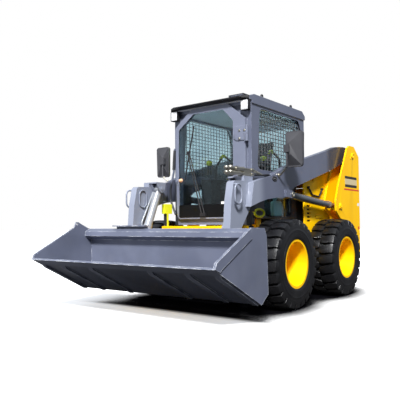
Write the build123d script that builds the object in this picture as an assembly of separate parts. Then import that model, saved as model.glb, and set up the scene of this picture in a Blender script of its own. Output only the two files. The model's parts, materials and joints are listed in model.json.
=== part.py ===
from build123d import *
import math
import os

# Skid steer loader with a general purpose bucket, parked with its lift arms down
# and the bucket rolled back.  All sizes are in millimetres.
#
# Construction frame: X is the machine's left, Y runs rearward from the front axle,
# Z is up from the ground.  Every part is moved along Y on export, so that the
# finished machine's bounding box is centred on the origin.

# ---------------------------------------------------------------- clearances
SEAT = 0.3                # gap between two parts that rest on each other
PIN_PLAY = 0.3            # radial play of a pin in its bore
SWING = 7.0               # least side gap between a moving part and its neighbour

# ---------------------------------------------------------------- cab width and height
# The cab sets the widths of everything beside it, and the roof sets the heights below it.
CAB_HALF_WIDTH = 474.0
CAB_FRONT = -100.0
CAB_REAR = 1010.0
CAB_FLOOR = 830.0
CAB_APRON = 772.0          # lower edge of the cab's front, below its floor
CAB_BACK_FLOOR = 1262.0    # underside of the cab over the engine
CAB_STEP_Y = 800.0
CAB_WALL = 40.0
ROOF_TOP = 2020.0
CAB_EAVES = ROOF_TOP - 90
ROOF_HALF_WIDTH = CAB_HALF_WIDTH + 12
ROOF_OVERHANG = 45.0
VISOR_REACH = 58.0
EYE_X = CAB_HALF_WIDTH - 34            # lifting eyes on the roof
EYE_PLACES = (160.0, 770.0)
EYE_HOLE = 12.0
CAB_PIVOT_Y, CAB_PIVOT_Z = CAB_REAR - 25, 1300.0
CAB_PIVOT_RADIUS = 18.0
SEAT_HEIGHT = 1230.0
GLASS = 6.0
MESH_BAR = 5.0
MESH_PITCH = 60.0
WINDOW_RADIUS = 55.0
DOOR_FRONT = CAB_FRONT - 36
DOOR_THICKNESS = 32.0
DOOR_CORNER = 34.0
DOOR_HINGE_X, DOOR_HINGE_Y = CAB_HALF_WIDTH - 19, DOOR_FRONT - 16
HINGE_RADIUS = 14.0
HINGE_PIN_RADIUS = 7.0
HINGE_HEIGHTS = (1030.0, CAB_EAVES - 292)
LAMP_WIDTH = 66.0
LAMP_HEIGHT = 84.0

# ---------------------------------------------------------------- lift arms
LEG_INNER = CAB_HALF_WIDTH + 61
LEG_THICKNESS = 72.0
LEG_END_RADIUS = 56.0
ARM_INNER = LEG_INNER + 70
ARM_THICKNESS = 60.0
ARM_PIVOT_Y, ARM_PIVOT_Z = 1785.0, 1585.0
ARM_PIN_RADIUS = 30.0
ARM_END_RADIUS = 98.0
LIFT_PIN_Y, LIFT_PIN_Z = 300.0, 1062.0       # cylinder pin on the arm
LIFT_BASE_Y, LIFT_BASE_Z = 1400.0, 972.0     # cylinder pin on the tower
LIFT_CYLINDER_X = ARM_INNER + 43
LIFT_BARREL_RADIUS = 37.0
LIFT_BARREL_LENGTH = 950.0
LIFT_ROD_RADIUS = 22.0
CYLINDER_PIN_RADIUS = 19.0
EYE_RADIUS = 40.0
EYE_THICKNESS = 46.0
EYE_NECK = 58.0           # from a barrel's base pin to its tube
EAR_RADIUS = 37.0         # of the ears that hold a cylinder pin
CROSS_TUBE_Y, CROSS_TUBE_Z = -560.0, 420.0
CROSS_TUBE_RADIUS = 45.0
GRIP_BAR = 8.0
GRIP_REACH = 38.0         # from the leg's outer face to the grip
GUIDE_BAR = 6.0
MIRROR_X = ARM_INNER + 210

# ---------------------------------------------------------------- chassis
FRAME_HALF_WIDTH = LEG_INNER
FRAME_FRONT = -365.0
FRAME_BOTTOM = 215.0
FRAME_DECK = 600.0
STEP_FRONT = -315.0
STEP_DEPTH = 150.0
STEP_TOP = 760.0
STEP_BOTTOM = 685.0
STEP_HALF_WIDTH = CAB_HALF_WIDTH - 9
REST_TOP = 988.0
REST_HEIGHT = 100.0
PANEL_OUTER = ARM_INNER - 32           # engine side panels
PANEL_THICKNESS = 18.0
PANEL_FRONT = 795.0
PANEL_TOP = 1240.0
LOUVRE_COUNT = 5
LOUVRE_PITCH = 40.0
LOUVRE_HEIGHT = 20.0
LOUVRE_LENGTH = 92.0
LOUVRE_FOOT = 797.0
TOWER_OUTER = ARM_INNER + ARM_THICKNESS + 57
TOWER_PLATE = 20.0
TOWER_REAR = 2000.0
TOWER_FOOT = 380.0
TOWER_TOP = 1700.0
FRAME_REAR = TOWER_REAR - 160
ENGINE_HALF_WIDTH = 260.0
ENGINE_FRONT, ENGINE_REAR = 1110.0, FRAME_REAR - 150
ENGINE_TOP = 1080.0
HOOD_FRONT = 1045.0
HOOD_HALF_WIDTH = PANEL_OUTER - 7
HOOD_TOP = 1300.0                      # at its front edge
HOOD_CREST = 1392.0
HOOD_SHEET = 14.0
DOOR_REAR_THICKNESS = 38.0
DOOR_REAR_HALF_WIDTH = PANEL_OUTER - 28
DOOR_REAR_BOTTOM = 525.0
REAR_SLOT_COUNT = 7
REAR_SLOT_PITCH = 68.0
TOW_HOLE = 16.0
TOW_HOLE_INSET = 62.0
REAR_HINGE_Y = TOWER_REAR + 17
REAR_HINGE_HEIGHTS = (640.0, 1090.0)

# ---------------------------------------------------------------- wheels
WHEELBASE = 1170.0
TYRE_RADIUS = 412.0       # over the lugs
TYRE_WIDTH = 305.0
TREAD_WIDTH = 286.0
LUG_HEIGHT = 27.0
LUG_COUNT = 12            # on each side of the tread
TYRE_FACETS = 24
BEAD_RADIUS = 212.0       # where the tyre sits on the rim
BEAD_WIDTH = 262.0        # between the rim flanges
RIM_FLANGE_RADIUS = 232.0
RIM_WALL = 9.0
DISC_OFFSET = 66.0        # wheel disc, inboard of the tyre centre
DISC_THICKNESS = 12.0
HUB_RADIUS = 88.0
HUB_LENGTH = 52.0
HUB_FLANGE = 18.0
NUT_COUNT = 8
NUT_RADIUS = 15.0
AXLE_TUBE_RADIUS = 72.0
WHEEL_X = FRAME_HALF_WIDTH + 52.5 + TYRE_WIDTH / 2

# ---------------------------------------------------------------- bucket linkage
BUCKET_PIVOT_Y, BUCKET_PIVOT_Z = -660.0, 235.0
COUPLER_PIN_REACH = 200.0                    # bucket pivot to tilt cylinder pin
COUPLER_PIN_ANGLE = 88.0                     # of that line, above forward level
TILT_PIN_Y, TILT_PIN_Z = -360.0, 1140.0      # tilt cylinder pin on the leg
TILT_CYLINDER_X = LEG_INNER - 61
TILT_BARREL_RADIUS = 39.0
TILT_BARREL_LENGTH = 440.0
TILT_ROD_RADIUS = 20.0
PIVOT_PIN_RADIUS = 22.0
EAR_SHEET = 14.0
COUPLER_PLATE = 18.0
COUPLER_SHEET = 20.0
COUPLER_BOTTOM, COUPLER_TOP = 195.0, 640.0

# ---------------------------------------------------------------- bucket
BUCKET_HALF_WIDTH = WHEEL_X + TYRE_WIDTH / 2 + 134.5
BUCKET_SHEET = 12.0
SIDE_STRIP = 8.0           # wear strip on the outside of each side plate
BUCKET_TIP_Y, BUCKET_TIP_Z = -1472.0, 470.0
BUCKET_HEEL_Y, BUCKET_HEEL_Z = -862.0, 160.0
BUCKET_BACK_Y, BUCKET_BACK_Z = -760.0, 235.0
BUCKET_TOP_BACK_Y = -775.0
BUCKET_TOP_Y, BUCKET_TOP_Z = -790.0, 742.0
WEAR_BAR_PLACES = (0.33, 0.69, 0.95)         # of the bucket's half width
WEAR_BAR_WIDTH = 50.0
WEAR_BAR_DEPTH = 14.0

# ---------------------------------------------------------------- lengths that follow
MACHINE_REAR = REAR_HINGE_Y + HINGE_RADIUS
MID_Y = (BUCKET_TIP_Y + MACHINE_REAR) / 2
ARM_OUTER = ARM_INNER + ARM_THICKNESS
LEG_OUTER = LEG_INNER + LEG_THICKNESS
COUPLER_HALF_WIDTH = LEG_OUTER + 33
TOWER_INNER = PANEL_OUTER + SEAT
LIFT_LANE = (LIFT_CYLINDER_X - EYE_THICKNESS / 2 - 5, LIFT_CYLINDER_X + EYE_THICKNESS / 2 + 5)
TILT_LANE = (TILT_CYLINDER_X - EYE_THICKNESS / 2 - SWING, TILT_CYLINDER_X + EYE_THICKNESS / 2 + SWING)
TOWER_LANE = (TOWER_INNER + TOWER_PLATE, TOWER_OUTER - TOWER_PLATE)
DOOR_BACK = DOOR_FRONT + DOOR_THICKNESS
CAB_INNER = CAB_HALF_WIDTH - CAB_WALL


# ================================================================ building blocks
def outline_wire(points, radius):
    if radius:
        return FilletPolyline(*points, radius=radius, close=True)
    return Polyline(*points, close=True)


def side_sheet(points, x_low, x_high, radius=0):
    """A flat piece whose outline is drawn in Y and Z, as seen from the side."""
    face = Plane.YZ.offset(x_low) * make_face(outline_wire(points, radius))
    return extrude(face, amount=x_high - x_low, dir=(1, 0, 0))


def front_sheet(points, y_low, y_high, radius=0):
    """A flat piece whose outline is drawn in X and Z, as seen from the front."""
    face = Pos(0, y_low, 0) * (Plane.XZ * make_face(outline_wire(points, radius)))
    return extrude(face, amount=y_high - y_low, dir=(0, 1, 0))


def plan_sheet(points, z_low, z_high, radius=0):
    """A flat piece whose outline is drawn in X and Y, as seen from above."""
    face = Pos(0, 0, z_low) * make_face(outline_wire(points, radius))
    return extrude(face, amount=z_high - z_low, dir=(0, 0, 1))


def block(x_low, x_high, y_low, y_high, z_low, z_high):
    size = (x_high - x_low, y_high - y_low, z_high - z_low)
    middle = ((x_low + x_high) / 2, (y_low + y_high) / 2, (z_low + z_high) / 2)
    return Pos(*middle) * Box(*size)


def round_bar(start, end, radius):
    """A round bar between two points."""
    run = Vector(*end) - Vector(*start)
    along = Plane(origin=start, z_dir=run)
    return along * Cylinder(radius, run.length, align=(Align.CENTER, Align.CENTER, Align.MIN))


def cross_pin(y, z, radius, x_low, x_high):
    return round_bar((x_low, y, z), (x_high, y, z), radius)


def upright(x, y, radius, z_low, z_high):
    return round_bar((x, y, z_low), (x, y, z_high), radius)


def bent_bar(points, radius, bend, closed=False):
    """A round bar bent along straight runs, or closed into a loop."""
    path = FilletPolyline(*points, radius=bend, close=closed)
    section = Plane(origin=path @ 0, z_dir=path % 0) * Circle(radius)
    return sweep(section, path=path)


def inset_outline(points, gap, radius):
    """The outline's face, drawn in again by a gap all round."""
    return offset(make_face(outline_wire(points, radius)), amount=-gap)


def other_side(shape):
    return mirror(shape, about=Plane.YZ)


def turned(reach, angle):
    """Y and Z steps of a line that leaves forward, turned up by an angle."""
    return -reach * math.cos(math.radians(angle)), reach * math.sin(math.radians(angle))


# ================================================================ wheels
def tyre_section():
    """Half widths and radii of the carcass, from the bead out to the tread."""
    half = TYRE_WIDTH / 2
    tread = TYRE_RADIUS - LUG_HEIGHT
    return [
        (BEAD_WIDTH / 2 - SEAT, RIM_FLANGE_RADIUS + 14), (half, 300), (half, tread - 33),
        (TREAD_WIDTH / 2 - 10, tread),
    ]


def facet_ring(x, radius):
    """One many-sided section of the tyre, square to the axle, resting on a flat."""
    ring = RegularPolygon(radius, TYRE_FACETS, major_radius=False, rotation=180 / TYRE_FACETS)
    return Plane(origin=(x, 0, 0), z_dir=(1, 0, 0)) * ring


def lug(side):
    """One bent tread bar, from the middle of the tread out over the shoulder."""
    outline = [(4, 37), (4, -13), (62, -37), (148, -37), (148, 21), (74, 21)]
    face = make_face(Polyline(*[(side * x, along) for x, along in outline], close=True))
    return extrude(Pos(0, 0, TYRE_RADIUS - 2 * LUG_HEIGHT - 3) * face, amount=2 * LUG_HEIGHT + 3)


def tyre(side, axle_y):
    """Lugged tyre: a many-sided carcass with bent bars, staggered across its middle."""
    section = tyre_section()
    rings = [facet_ring(-x, r) for x, r in section] + [facet_ring(x, r) for x, r in section[::-1]]
    body = loft(rings, ruled=True)
    bore_face = facet_ring(-TYRE_WIDTH, BEAD_RADIUS + SEAT)
    body -= extrude(bore_face, amount=2 * TYRE_WIDTH, dir=(1, 0, 0))
    pitch = 360 / LUG_COUNT
    lugs = [
        Rot(180 + (step + (half_step + 1) / 4) * pitch - pitch / 2, 0, 0) * lug(half_step)
        for step in range(LUG_COUNT) for half_step in (-1, 1)
    ]
    body += lugs
    if side < 0:
        body = other_side(body)
    return Pos(side * WHEEL_X, axle_y, TYRE_RADIUS) * body


def rim(side, axle_y):
    """Deep dished wheel with its hub: drawn for the machine's left, outboard is +X."""
    half = BEAD_WIDTH / 2 + RIM_WALL
    barrel = [
        (-half, RIM_FLANGE_RADIUS), (-half + RIM_WALL, RIM_FLANGE_RADIUS),
        (-half + RIM_WALL, BEAD_RADIUS), (half - RIM_WALL, BEAD_RADIUS),
        (half - RIM_WALL, RIM_FLANGE_RADIUS), (half, RIM_FLANGE_RADIUS),
        (half, BEAD_RADIUS - RIM_WALL), (0, BEAD_RADIUS - 34),
        (-DISC_OFFSET, BEAD_RADIUS - 52), (-DISC_OFFSET, HUB_RADIUS),
        (-DISC_OFFSET - DISC_THICKNESS, HUB_RADIUS),
        (-DISC_OFFSET - DISC_THICKNESS, BEAD_RADIUS - 46), (-half, BEAD_RADIUS - RIM_WALL),
    ]
    wheel = revolve(make_face(Polyline(*barrel, close=True)), axis=Axis.X)
    hub_face = HUB_LENGTH - DISC_OFFSET - 20
    hub_back = -DISC_OFFSET - DISC_THICKNESS - HUB_FLANGE
    hub = round_bar((hub_back, 0, 0), (hub_face - 22, 0, 0), HUB_RADIUS + 1)
    cap = round_bar((hub_face - 24, 0, 0), (hub_face, 0, 0), HUB_RADIUS - 34)
    nut_face = Plane(origin=(-DISC_OFFSET - 2, HUB_RADIUS + 24, 0), z_dir=(1, 0, 0))
    nut = extrude(nut_face * RegularPolygon(NUT_RADIUS, 6), amount=22, dir=(1, 0, 0))
    nuts = [Rot(360 / NUT_COUNT * step, 0, 0) * nut for step in range(NUT_COUNT)]
    wheel = wheel + hub + cap + nuts
    if side < 0:
        wheel = other_side(wheel)
    return Pos(side * WHEEL_X, axle_y, TYRE_RADIUS) * wheel


# ================================================================ chassis
REST_PLACES = (40.0, 640.0)           # front edges of the blocks that the cab stands on


def main_frame():
    """Welded hull between the wheels, with its axle tubes and cab rests."""
    hull_outline = [
        (FRAME_FRONT, 330), (FRAME_FRONT, FRAME_DECK), (FRAME_REAR, FRAME_DECK),
        (FRAME_REAR, 330), (FRAME_REAR - 160, FRAME_BOTTOM), (FRAME_FRONT + 150, FRAME_BOTTOM),
    ]
    hull = side_sheet(hull_outline, -FRAME_HALF_WIDTH, FRAME_HALF_WIDTH)
    hub_back = WHEEL_X - DISC_OFFSET - DISC_THICKNESS - HUB_FLANGE
    for axle_y in (0, WHEELBASE):
        for side in (-1, 1):
            reach = side * (hub_back - SEAT)
            hull += cross_pin(axle_y, TYRE_RADIUS, AXLE_TUBE_RADIUS, 0, reach)
            hull += cross_pin(axle_y, TYRE_RADIUS, AXLE_TUBE_RADIUS + 40, 0,
                              side * (FRAME_HALF_WIDTH + 16))
    for side in (-1, 1):
        inner, outer = sorted((side * (CAB_HALF_WIDTH - 144), side * (CAB_HALF_WIDTH - 44)))
        for front in REST_PLACES:
            hull += block(inner, outer, front, front + 90, FRAME_DECK, CAB_FLOOR - SEAT)
    return hull


def front_step():
    """Cross beam under the cab door, standing on the hull, with an arm rest at each end."""
    beam = block(-STEP_HALF_WIDTH, STEP_HALF_WIDTH, STEP_FRONT, STEP_FRONT + STEP_DEPTH,
                 STEP_BOTTOM, STEP_TOP)
    post_rear = STEP_FRONT + STEP_DEPTH
    for side in (-1, 1):
        inner, outer = sorted((side * (STEP_HALF_WIDTH - 90), side * (STEP_HALF_WIDTH - 30)))
        beam += block(inner, outer, STEP_FRONT + 20, STEP_FRONT + 120, FRAME_DECK + SEAT, STEP_BOTTOM)
        inner, outer = sorted((side * (STEP_HALF_WIDTH - 4), side * (LEG_INNER - SWING)))
        beam += block(inner, outer, post_rear - 90, post_rear, STEP_BOTTOM, STEP_TOP)
        inner, outer = sorted((side * (CAB_HALF_WIDTH + 10), side * (LEG_INNER - SWING)))
        beam += block(inner, outer, post_rear - 60, post_rear - 30, STEP_TOP - 1, REST_TOP - REST_HEIGHT + 1)
        beam += block(inner, outer, post_rear - 90, post_rear + 25, REST_TOP - REST_HEIGHT, REST_TOP)
    return beam


def engine_side(side):
    """Louvred side panel of the engine bay, with its foot on the hull and the cab's pivot eye."""
    inner = PANEL_OUTER - PANEL_THICKNESS
    outline = [
        (PANEL_FRONT, FRAME_DECK + 90), (PANEL_FRONT, PANEL_TOP - 50), (PANEL_FRONT + 50, PANEL_TOP),
        (TOWER_REAR - 45, PANEL_TOP), (TOWER_REAR - 45, FRAME_DECK + SEAT),
        (PANEL_FRONT + 110, FRAME_DECK + SEAT),
    ]
    sheet = side_sheet(outline, inner, PANEL_OUTER)
    sheet += block(FRAME_HALF_WIDTH - 40, PANEL_OUTER, PANEL_FRONT + 115, FRAME_REAR - 5,
                   FRAME_DECK + SEAT, FRAME_DECK + 16)
    sheet += block(PANEL_OUTER - 1, PANEL_OUTER + 12, PANEL_FRONT + 265, tower_outline()[0][0] - 10,
                   840, 872)
    louvre_front = PANEL_FRONT + 54
    for step in range(LOUVRE_COUNT):
        slot_z = LOUVRE_FOOT + step * LOUVRE_PITCH
        sheet -= block(inner - 1, PANEL_OUTER + 1, louvre_front, louvre_front + LOUVRE_LENGTH,
                       slot_z, slot_z + LOUVRE_HEIGHT)
    lug_inner = inner - 24
    sheet += block(lug_inner, inner + 1, CAB_PIVOT_Y - 34, CAB_PIVOT_Y + 34, PANEL_TOP - 90, CAB_PIVOT_Z)
    sheet += cross_pin(CAB_PIVOT_Y, CAB_PIVOT_Z, 34, lug_inner, inner + 1)
    sheet -= cross_pin(CAB_PIVOT_Y, CAB_PIVOT_Z, CAB_PIVOT_RADIUS + PIN_PLAY, lug_inner - 1, inner + 2)
    return sheet if side > 0 else other_side(sheet)


def side_hoses(side):
    """Hydraulic hose that leaves the engine bay and loops back, on two fittings."""
    x = PANEL_OUTER + 13
    route = [(x, 872, 1165), (x, 960, 1088), (x, 1130, 1072), (x, 1215, 1160)]
    body = bent_bar(route, 10, 40)
    for end in (route[0], route[-1]):
        body += cross_pin(end[1], end[2], 15, PANEL_OUTER + SEAT, x + 10)
    return body if side > 0 else other_side(body)


def tower_outline():
    return [
        (1282, 1035), (1358, 1200), (1565, 1535), (1640, 1660), (1705, TOWER_TOP),
        (1850, TOWER_TOP), (TOWER_REAR, 1590), (TOWER_REAR, TOWER_FOOT),
        (TOWER_REAR - 255, TOWER_FOOT), (TOWER_REAR - 260, 620), (1640, 790), (1405, 832), (1290, 915),
    ]


def tower(side):
    """Upright that carries one lift arm: two plates, a rear web and the pins' bosses."""
    lane_low, lane_high = TOWER_LANE
    outline = tower_outline()
    body = side_sheet(outline, TOWER_INNER, lane_low, 30)
    body += side_sheet(outline, lane_high, TOWER_OUTER, 30)
    body += block(TOWER_INNER, TOWER_OUTER, TOWER_REAR - 20, TOWER_REAR, TOWER_FOOT + 32, 1545)
    body += block(TOWER_INNER, TOWER_OUTER, TOWER_REAR - 230, TOWER_REAR, TOWER_FOOT, TOWER_FOOT + 20)
    body += cross_pin(ARM_PIVOT_Y, ARM_PIVOT_Z, ARM_PIN_RADIUS, TOWER_INNER, TOWER_OUTER + 8)
    body += cross_pin(ARM_PIVOT_Y, ARM_PIVOT_Z, 52, ARM_OUTER + SWING, lane_high)
    body += cross_pin(LIFT_BASE_Y, LIFT_BASE_Z, 34, lane_high, TOWER_OUTER + 14)
    if side > 0:
        return body
    return other_side(body) + hinge_halves()


def engine_block():
    return block(-ENGINE_HALF_WIDTH, ENGINE_HALF_WIDTH, ENGINE_FRONT, ENGINE_REAR,
                 FRAME_DECK + SEAT, ENGINE_TOP)


def counterweight():
    """Cast rear bumper between the towers, with a tow hole through its lip."""
    outline = [
        (FRAME_REAR + SEAT, 300), (TOWER_REAR - 20, 300), (TOWER_REAR, 330),
        (TOWER_REAR, DOOR_REAR_BOTTOM - 10), (FRAME_REAR + SEAT, DOOR_REAR_BOTTOM - 10),
    ]
    weight = side_sheet(outline, SEAT - TOWER_INNER, TOWER_INNER - SEAT)
    weight -= block(-90, 90, FRAME_REAR + 40, TOWER_REAR + 1, 380, 440)
    weight -= upright(0, TOWER_REAR - TOW_HOLE_INSET, TOW_HOLE, 200, 600)
    return weight


def hood():
    """Engine lid: a folded sheet that rises to a crest, hinged at its front edge."""
    rear = TOWER_REAR - 20
    outline = [
        (HOOD_FRONT, PANEL_TOP + SEAT), (HOOD_FRONT, HOOD_TOP - 12), (HOOD_FRONT + 30, HOOD_TOP),
        (HOOD_FRONT + 190, HOOD_CREST - 8), (HOOD_FRONT + 330, HOOD_CREST), (rear - 170, HOOD_CREST - 8),
        (rear, HOOD_CREST - 60), (rear, PANEL_TOP + SEAT),
    ]
    inner = [
        (HOOD_FRONT + HOOD_SHEET, PANEL_TOP - 10), (HOOD_FRONT + HOOD_SHEET, HOOD_TOP - 28),
        (HOOD_FRONT + 196, HOOD_CREST - 24), (HOOD_FRONT + 332, HOOD_CREST - HOOD_SHEET),
        (rear - 174, HOOD_CREST - 24), (rear - HOOD_SHEET, HOOD_CREST - 72),
        (rear - HOOD_SHEET, PANEL_TOP - 10),
    ]
    lid = side_sheet(outline, -HOOD_HALF_WIDTH, HOOD_HALF_WIDTH)
    lid -= side_sheet(inner, HOOD_SHEET - HOOD_HALF_WIDTH, HOOD_HALF_WIDTH - HOOD_SHEET)
    for side in (-1, 1):
        low, high = sorted((side * (HOOD_HALF_WIDTH - 150), side * (HOOD_HALF_WIDTH - 40)))
        lid += cross_pin(HOOD_FRONT, HOOD_TOP - 12, 10, low, high)
    return lid


def rear_door():
    """Tailgate of the engine bay, with cooling slots and hinge knuckles on its right edge."""
    front = TOWER_REAR - DOOR_REAR_THICKNESS
    leaf = block(-DOOR_REAR_HALF_WIDTH, DOOR_REAR_HALF_WIDTH, front, TOWER_REAR,
                 DOOR_REAR_BOTTOM, PANEL_TOP - 4)
    slot_half = DOOR_REAR_HALF_WIDTH - 215
    for step in range(REAR_SLOT_COUNT):
        slot_z = DOOR_REAR_BOTTOM + 115 + step * REAR_SLOT_PITCH
        leaf -= block(-slot_half, slot_half, front - 1, TOWER_REAR + 1, slot_z, slot_z + REAR_SLOT_PITCH / 2)
    for knuckle_z in REAR_HINGE_HEIGHTS:
        leaf += block(-DOOR_REAR_HALF_WIDTH - 16, -DOOR_REAR_HALF_WIDTH + 60, TOWER_REAR - 2,
                      TOWER_REAR + 8, knuckle_z, knuckle_z + 50)
        leaf += upright(-DOOR_REAR_HALF_WIDTH - 16, REAR_HINGE_Y, HINGE_RADIUS,
                        knuckle_z, knuckle_z + 50)
        leaf -= upright(-DOOR_REAR_HALF_WIDTH - 16, REAR_HINGE_Y, HINGE_PIN_RADIUS + PIN_PLAY,
                        knuckle_z - 1, knuckle_z + 51)
    leaf += block(DOOR_REAR_HALF_WIDTH - 115, DOOR_REAR_HALF_WIDTH - 65, TOWER_REAR - 1,
                  TOWER_REAR + 22, 860, 980)
    return leaf


def hinge_halves():
    """The chassis halves of the tailgate hinges, on the right tower's web."""
    halves = []
    for knuckle_z in REAR_HINGE_HEIGHTS:
        low = knuckle_z - 52
        half = upright(-DOOR_REAR_HALF_WIDTH - 16, REAR_HINGE_Y, HINGE_RADIUS, low, low + 50)
        half += upright(-DOOR_REAR_HALF_WIDTH - 16, REAR_HINGE_Y, HINGE_PIN_RADIUS, low, low + 100)
        half += block(-DOOR_REAR_HALF_WIDTH - 80, -DOOR_REAR_HALF_WIDTH - 16,
                      TOWER_REAR - 1, TOWER_REAR + 10, low, low + 50)
        halves.append(half)
    return halves


# ================================================================ lift arms
def arm_outline():
    """Side outline of the arm ahead of its rear end, from the front top corner round."""
    return [
        (-374, 1148), (-43, 1231), (181, 1318), (615, 1444), (1268, 1611), (1431, 1658),
        (1650, 1682), (ARM_PIVOT_Y, ARM_PIVOT_Z + ARM_END_RADIUS - 1),
        (ARM_PIVOT_Y, ARM_PIVOT_Z - ARM_END_RADIUS + 1), (1600, 1478), (1338, 1392), (880, 1269),
        (392, 1139), (LIFT_PIN_Y + 46, LIFT_PIN_Z + 46), (LIFT_PIN_Y, LIFT_PIN_Z),
        (LIFT_PIN_Y - 8, 1031), (32, 1023), (-155, 1000), (-269, 975), (-427, 929),
    ]


def leg_outline():
    """Side outline of the leg that drops from the elbow to the bucket pivot."""
    return [
        (-592, 1150), (-300, 1165), (-290, 1075), (-350, 916), (-500, 735), (-505, 420),
        (-560, 330), (-606, 245), (-655, 180), (-714, 230), (-715, 420), (-672, 730),
        (-650, 975), (-614, 1130),
    ]


def elbow_box():
    """Filling that ties the leg to the front of the arm."""
    return [(-410, 1120), (-330, 1156), (-170, 1184), (-170, 1004), (-262, 984), (-418, 938)]


def lift_ears():
    """Web inside the arm and boss outside it that hold the lift cylinder's pin."""
    lane_low, lane_high = LIFT_LANE
    web_end = lane_high + EAR_SHEET
    ears = cross_pin(LIFT_PIN_Y, LIFT_PIN_Z, EAR_RADIUS, ARM_INNER, lane_low)
    ears += cross_pin(LIFT_PIN_Y, LIFT_PIN_Z, EAR_RADIUS, lane_high, web_end)
    outline = [
        (LIFT_PIN_Y - 118, LIFT_PIN_Z + 44), (LIFT_PIN_Y, LIFT_PIN_Z + EAR_RADIUS - 1),
        (LIFT_PIN_Y, LIFT_PIN_Z - EAR_RADIUS + 1), (LIFT_PIN_Y - 118, LIFT_PIN_Z - 26),
    ]
    ears += side_sheet(outline, lane_high, web_end)
    return ears + block(ARM_OUTER - 5, web_end, LIFT_PIN_Y - 118, LIFT_PIN_Y - EYE_RADIUS - SWING - 4,
                        LIFT_PIN_Z - 26, LIFT_PIN_Z + 40)


def tilt_ears():
    """Two ears inside the leg's top that hold the tilt cylinder's pin."""
    lane_low, lane_high = TILT_LANE
    top = TILT_PIN_Z + 62
    outline = [
        (TILT_PIN_Y - 80, top), (TILT_PIN_Y + 60, top), (TILT_PIN_Y + 42, TILT_PIN_Z - 10),
        (TILT_PIN_Y + 15, TILT_PIN_Z - 40), (TILT_PIN_Y - 15, TILT_PIN_Z - 40),
        (TILT_PIN_Y - 42, TILT_PIN_Z - 10),
    ]
    ears = side_sheet(outline, lane_low - EAR_SHEET, lane_low)
    ears += side_sheet(outline, lane_high, LEG_INNER)
    ears += block(lane_low - EAR_SHEET, ARM_INNER, TILT_PIN_Y - 80, TILT_PIN_Y + 60, top - 12, top)
    return ears + block(LEG_INNER, ARM_INNER, TILT_PIN_Y - 80, TILT_PIN_Y + 60, 1150, top)


def arm(side):
    """One lift arm: box arm and leg welded side by side at the elbow, with ears and grips."""
    body = side_sheet(arm_outline(), ARM_INNER, ARM_OUTER)
    body += cross_pin(ARM_PIVOT_Y, ARM_PIVOT_Z, ARM_END_RADIUS, ARM_INNER, ARM_OUTER)
    body += side_sheet(leg_outline(), LEG_INNER, LEG_OUTER)
    body += side_sheet(elbow_box(), LEG_INNER, ARM_INNER + 5)
    body += cross_pin(BUCKET_PIVOT_Y, BUCKET_PIVOT_Z, LEG_END_RADIUS, LEG_INNER, LEG_OUTER)
    body += tilt_ears()
    body -= cross_pin(LIFT_PIN_Y, LIFT_PIN_Z, EYE_RADIUS + SWING, *LIFT_LANE)
    body += lift_ears()
    body += cross_pin(LIFT_PIN_Y, LIFT_PIN_Z, CYLINDER_PIN_RADIUS, ARM_INNER, LIFT_LANE[1] + EAR_SHEET + 6)
    body += cross_pin(TILT_PIN_Y, TILT_PIN_Z, CYLINDER_PIN_RADIUS, TILT_LANE[0] - EAR_SHEET - 6, LEG_INNER)
    body -= cross_pin(ARM_PIVOT_Y, ARM_PIVOT_Z, ARM_PIN_RADIUS + PIN_PLAY, ARM_INNER - 1, ARM_OUTER + 1)
    body -= cross_pin(BUCKET_PIVOT_Y, BUCKET_PIVOT_Z, PIVOT_PIN_RADIUS + PIN_PLAY,
                      LEG_INNER - 1, LEG_OUTER + 1)
    body += leg_loop(LEG_OUTER + GRIP_REACH, LEG_OUTER - 2, -597, GRIP_BAR)
    body += leg_loop(LEG_INNER - GUIDE_BAR - 2, LEG_INNER + 2, -535, GUIDE_BAR)
    return body if side > 0 else other_side(body)


def cross_tube():
    reach = LEG_INNER - SEAT
    return cross_pin(CROSS_TUBE_Y, CROSS_TUBE_Z, CROSS_TUBE_RADIUS, -reach, reach)


def leg_loop(x, root_x, y, radius):
    """Closed oval bar beside the leg on two short stems: a grip outside, a hose guide inside."""
    low, high = 950, 1118
    reach = 50
    corners = [(x, y - reach, low), (x, y + reach, low), (x, y + reach, high), (x, y - reach, high)]
    loop = bent_bar(corners, radius, reach - 2, closed=True)
    for height in (low, high):
        loop += cross_pin(y, height, radius, *sorted((x, root_x)))
    return loop


def mirror_unit(side):
    """Rear view mirror with a ridged back, clamped to a bent tube that is bolted to the arm."""
    x = MIRROR_X
    low, high = 1308, 1646
    plate = [(x - 82, low), (x + 88, low), (x + 98, high), (x - 86, high)]
    head = front_sheet(plate, 95, 122, 30)
    shell = loft([Rectangle(160, 316), Pos(-34, 6, 58) * Rectangle(34, 104)])
    head += Pos(x + 2, 96, (low + high) / 2) * (Rot(90, 0, 0) * shell)
    head += block(x - 70, x - 14, 22, 56, 1442, 1514)
    tube_x = x - 44
    foot_y, foot_z = 62, 1238
    head += bent_bar([(tube_x, 38, 1500), (tube_x, 38, 1310), (ARM_OUTER + 26, foot_y, foot_z),
                      (ARM_OUTER + SEAT + 2, foot_y, foot_z)], 10, 24)
    head += cross_pin(foot_y, foot_z, 20, ARM_OUTER + SEAT, ARM_OUTER + 12)
    return head if side > 0 else other_side(head)


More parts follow.
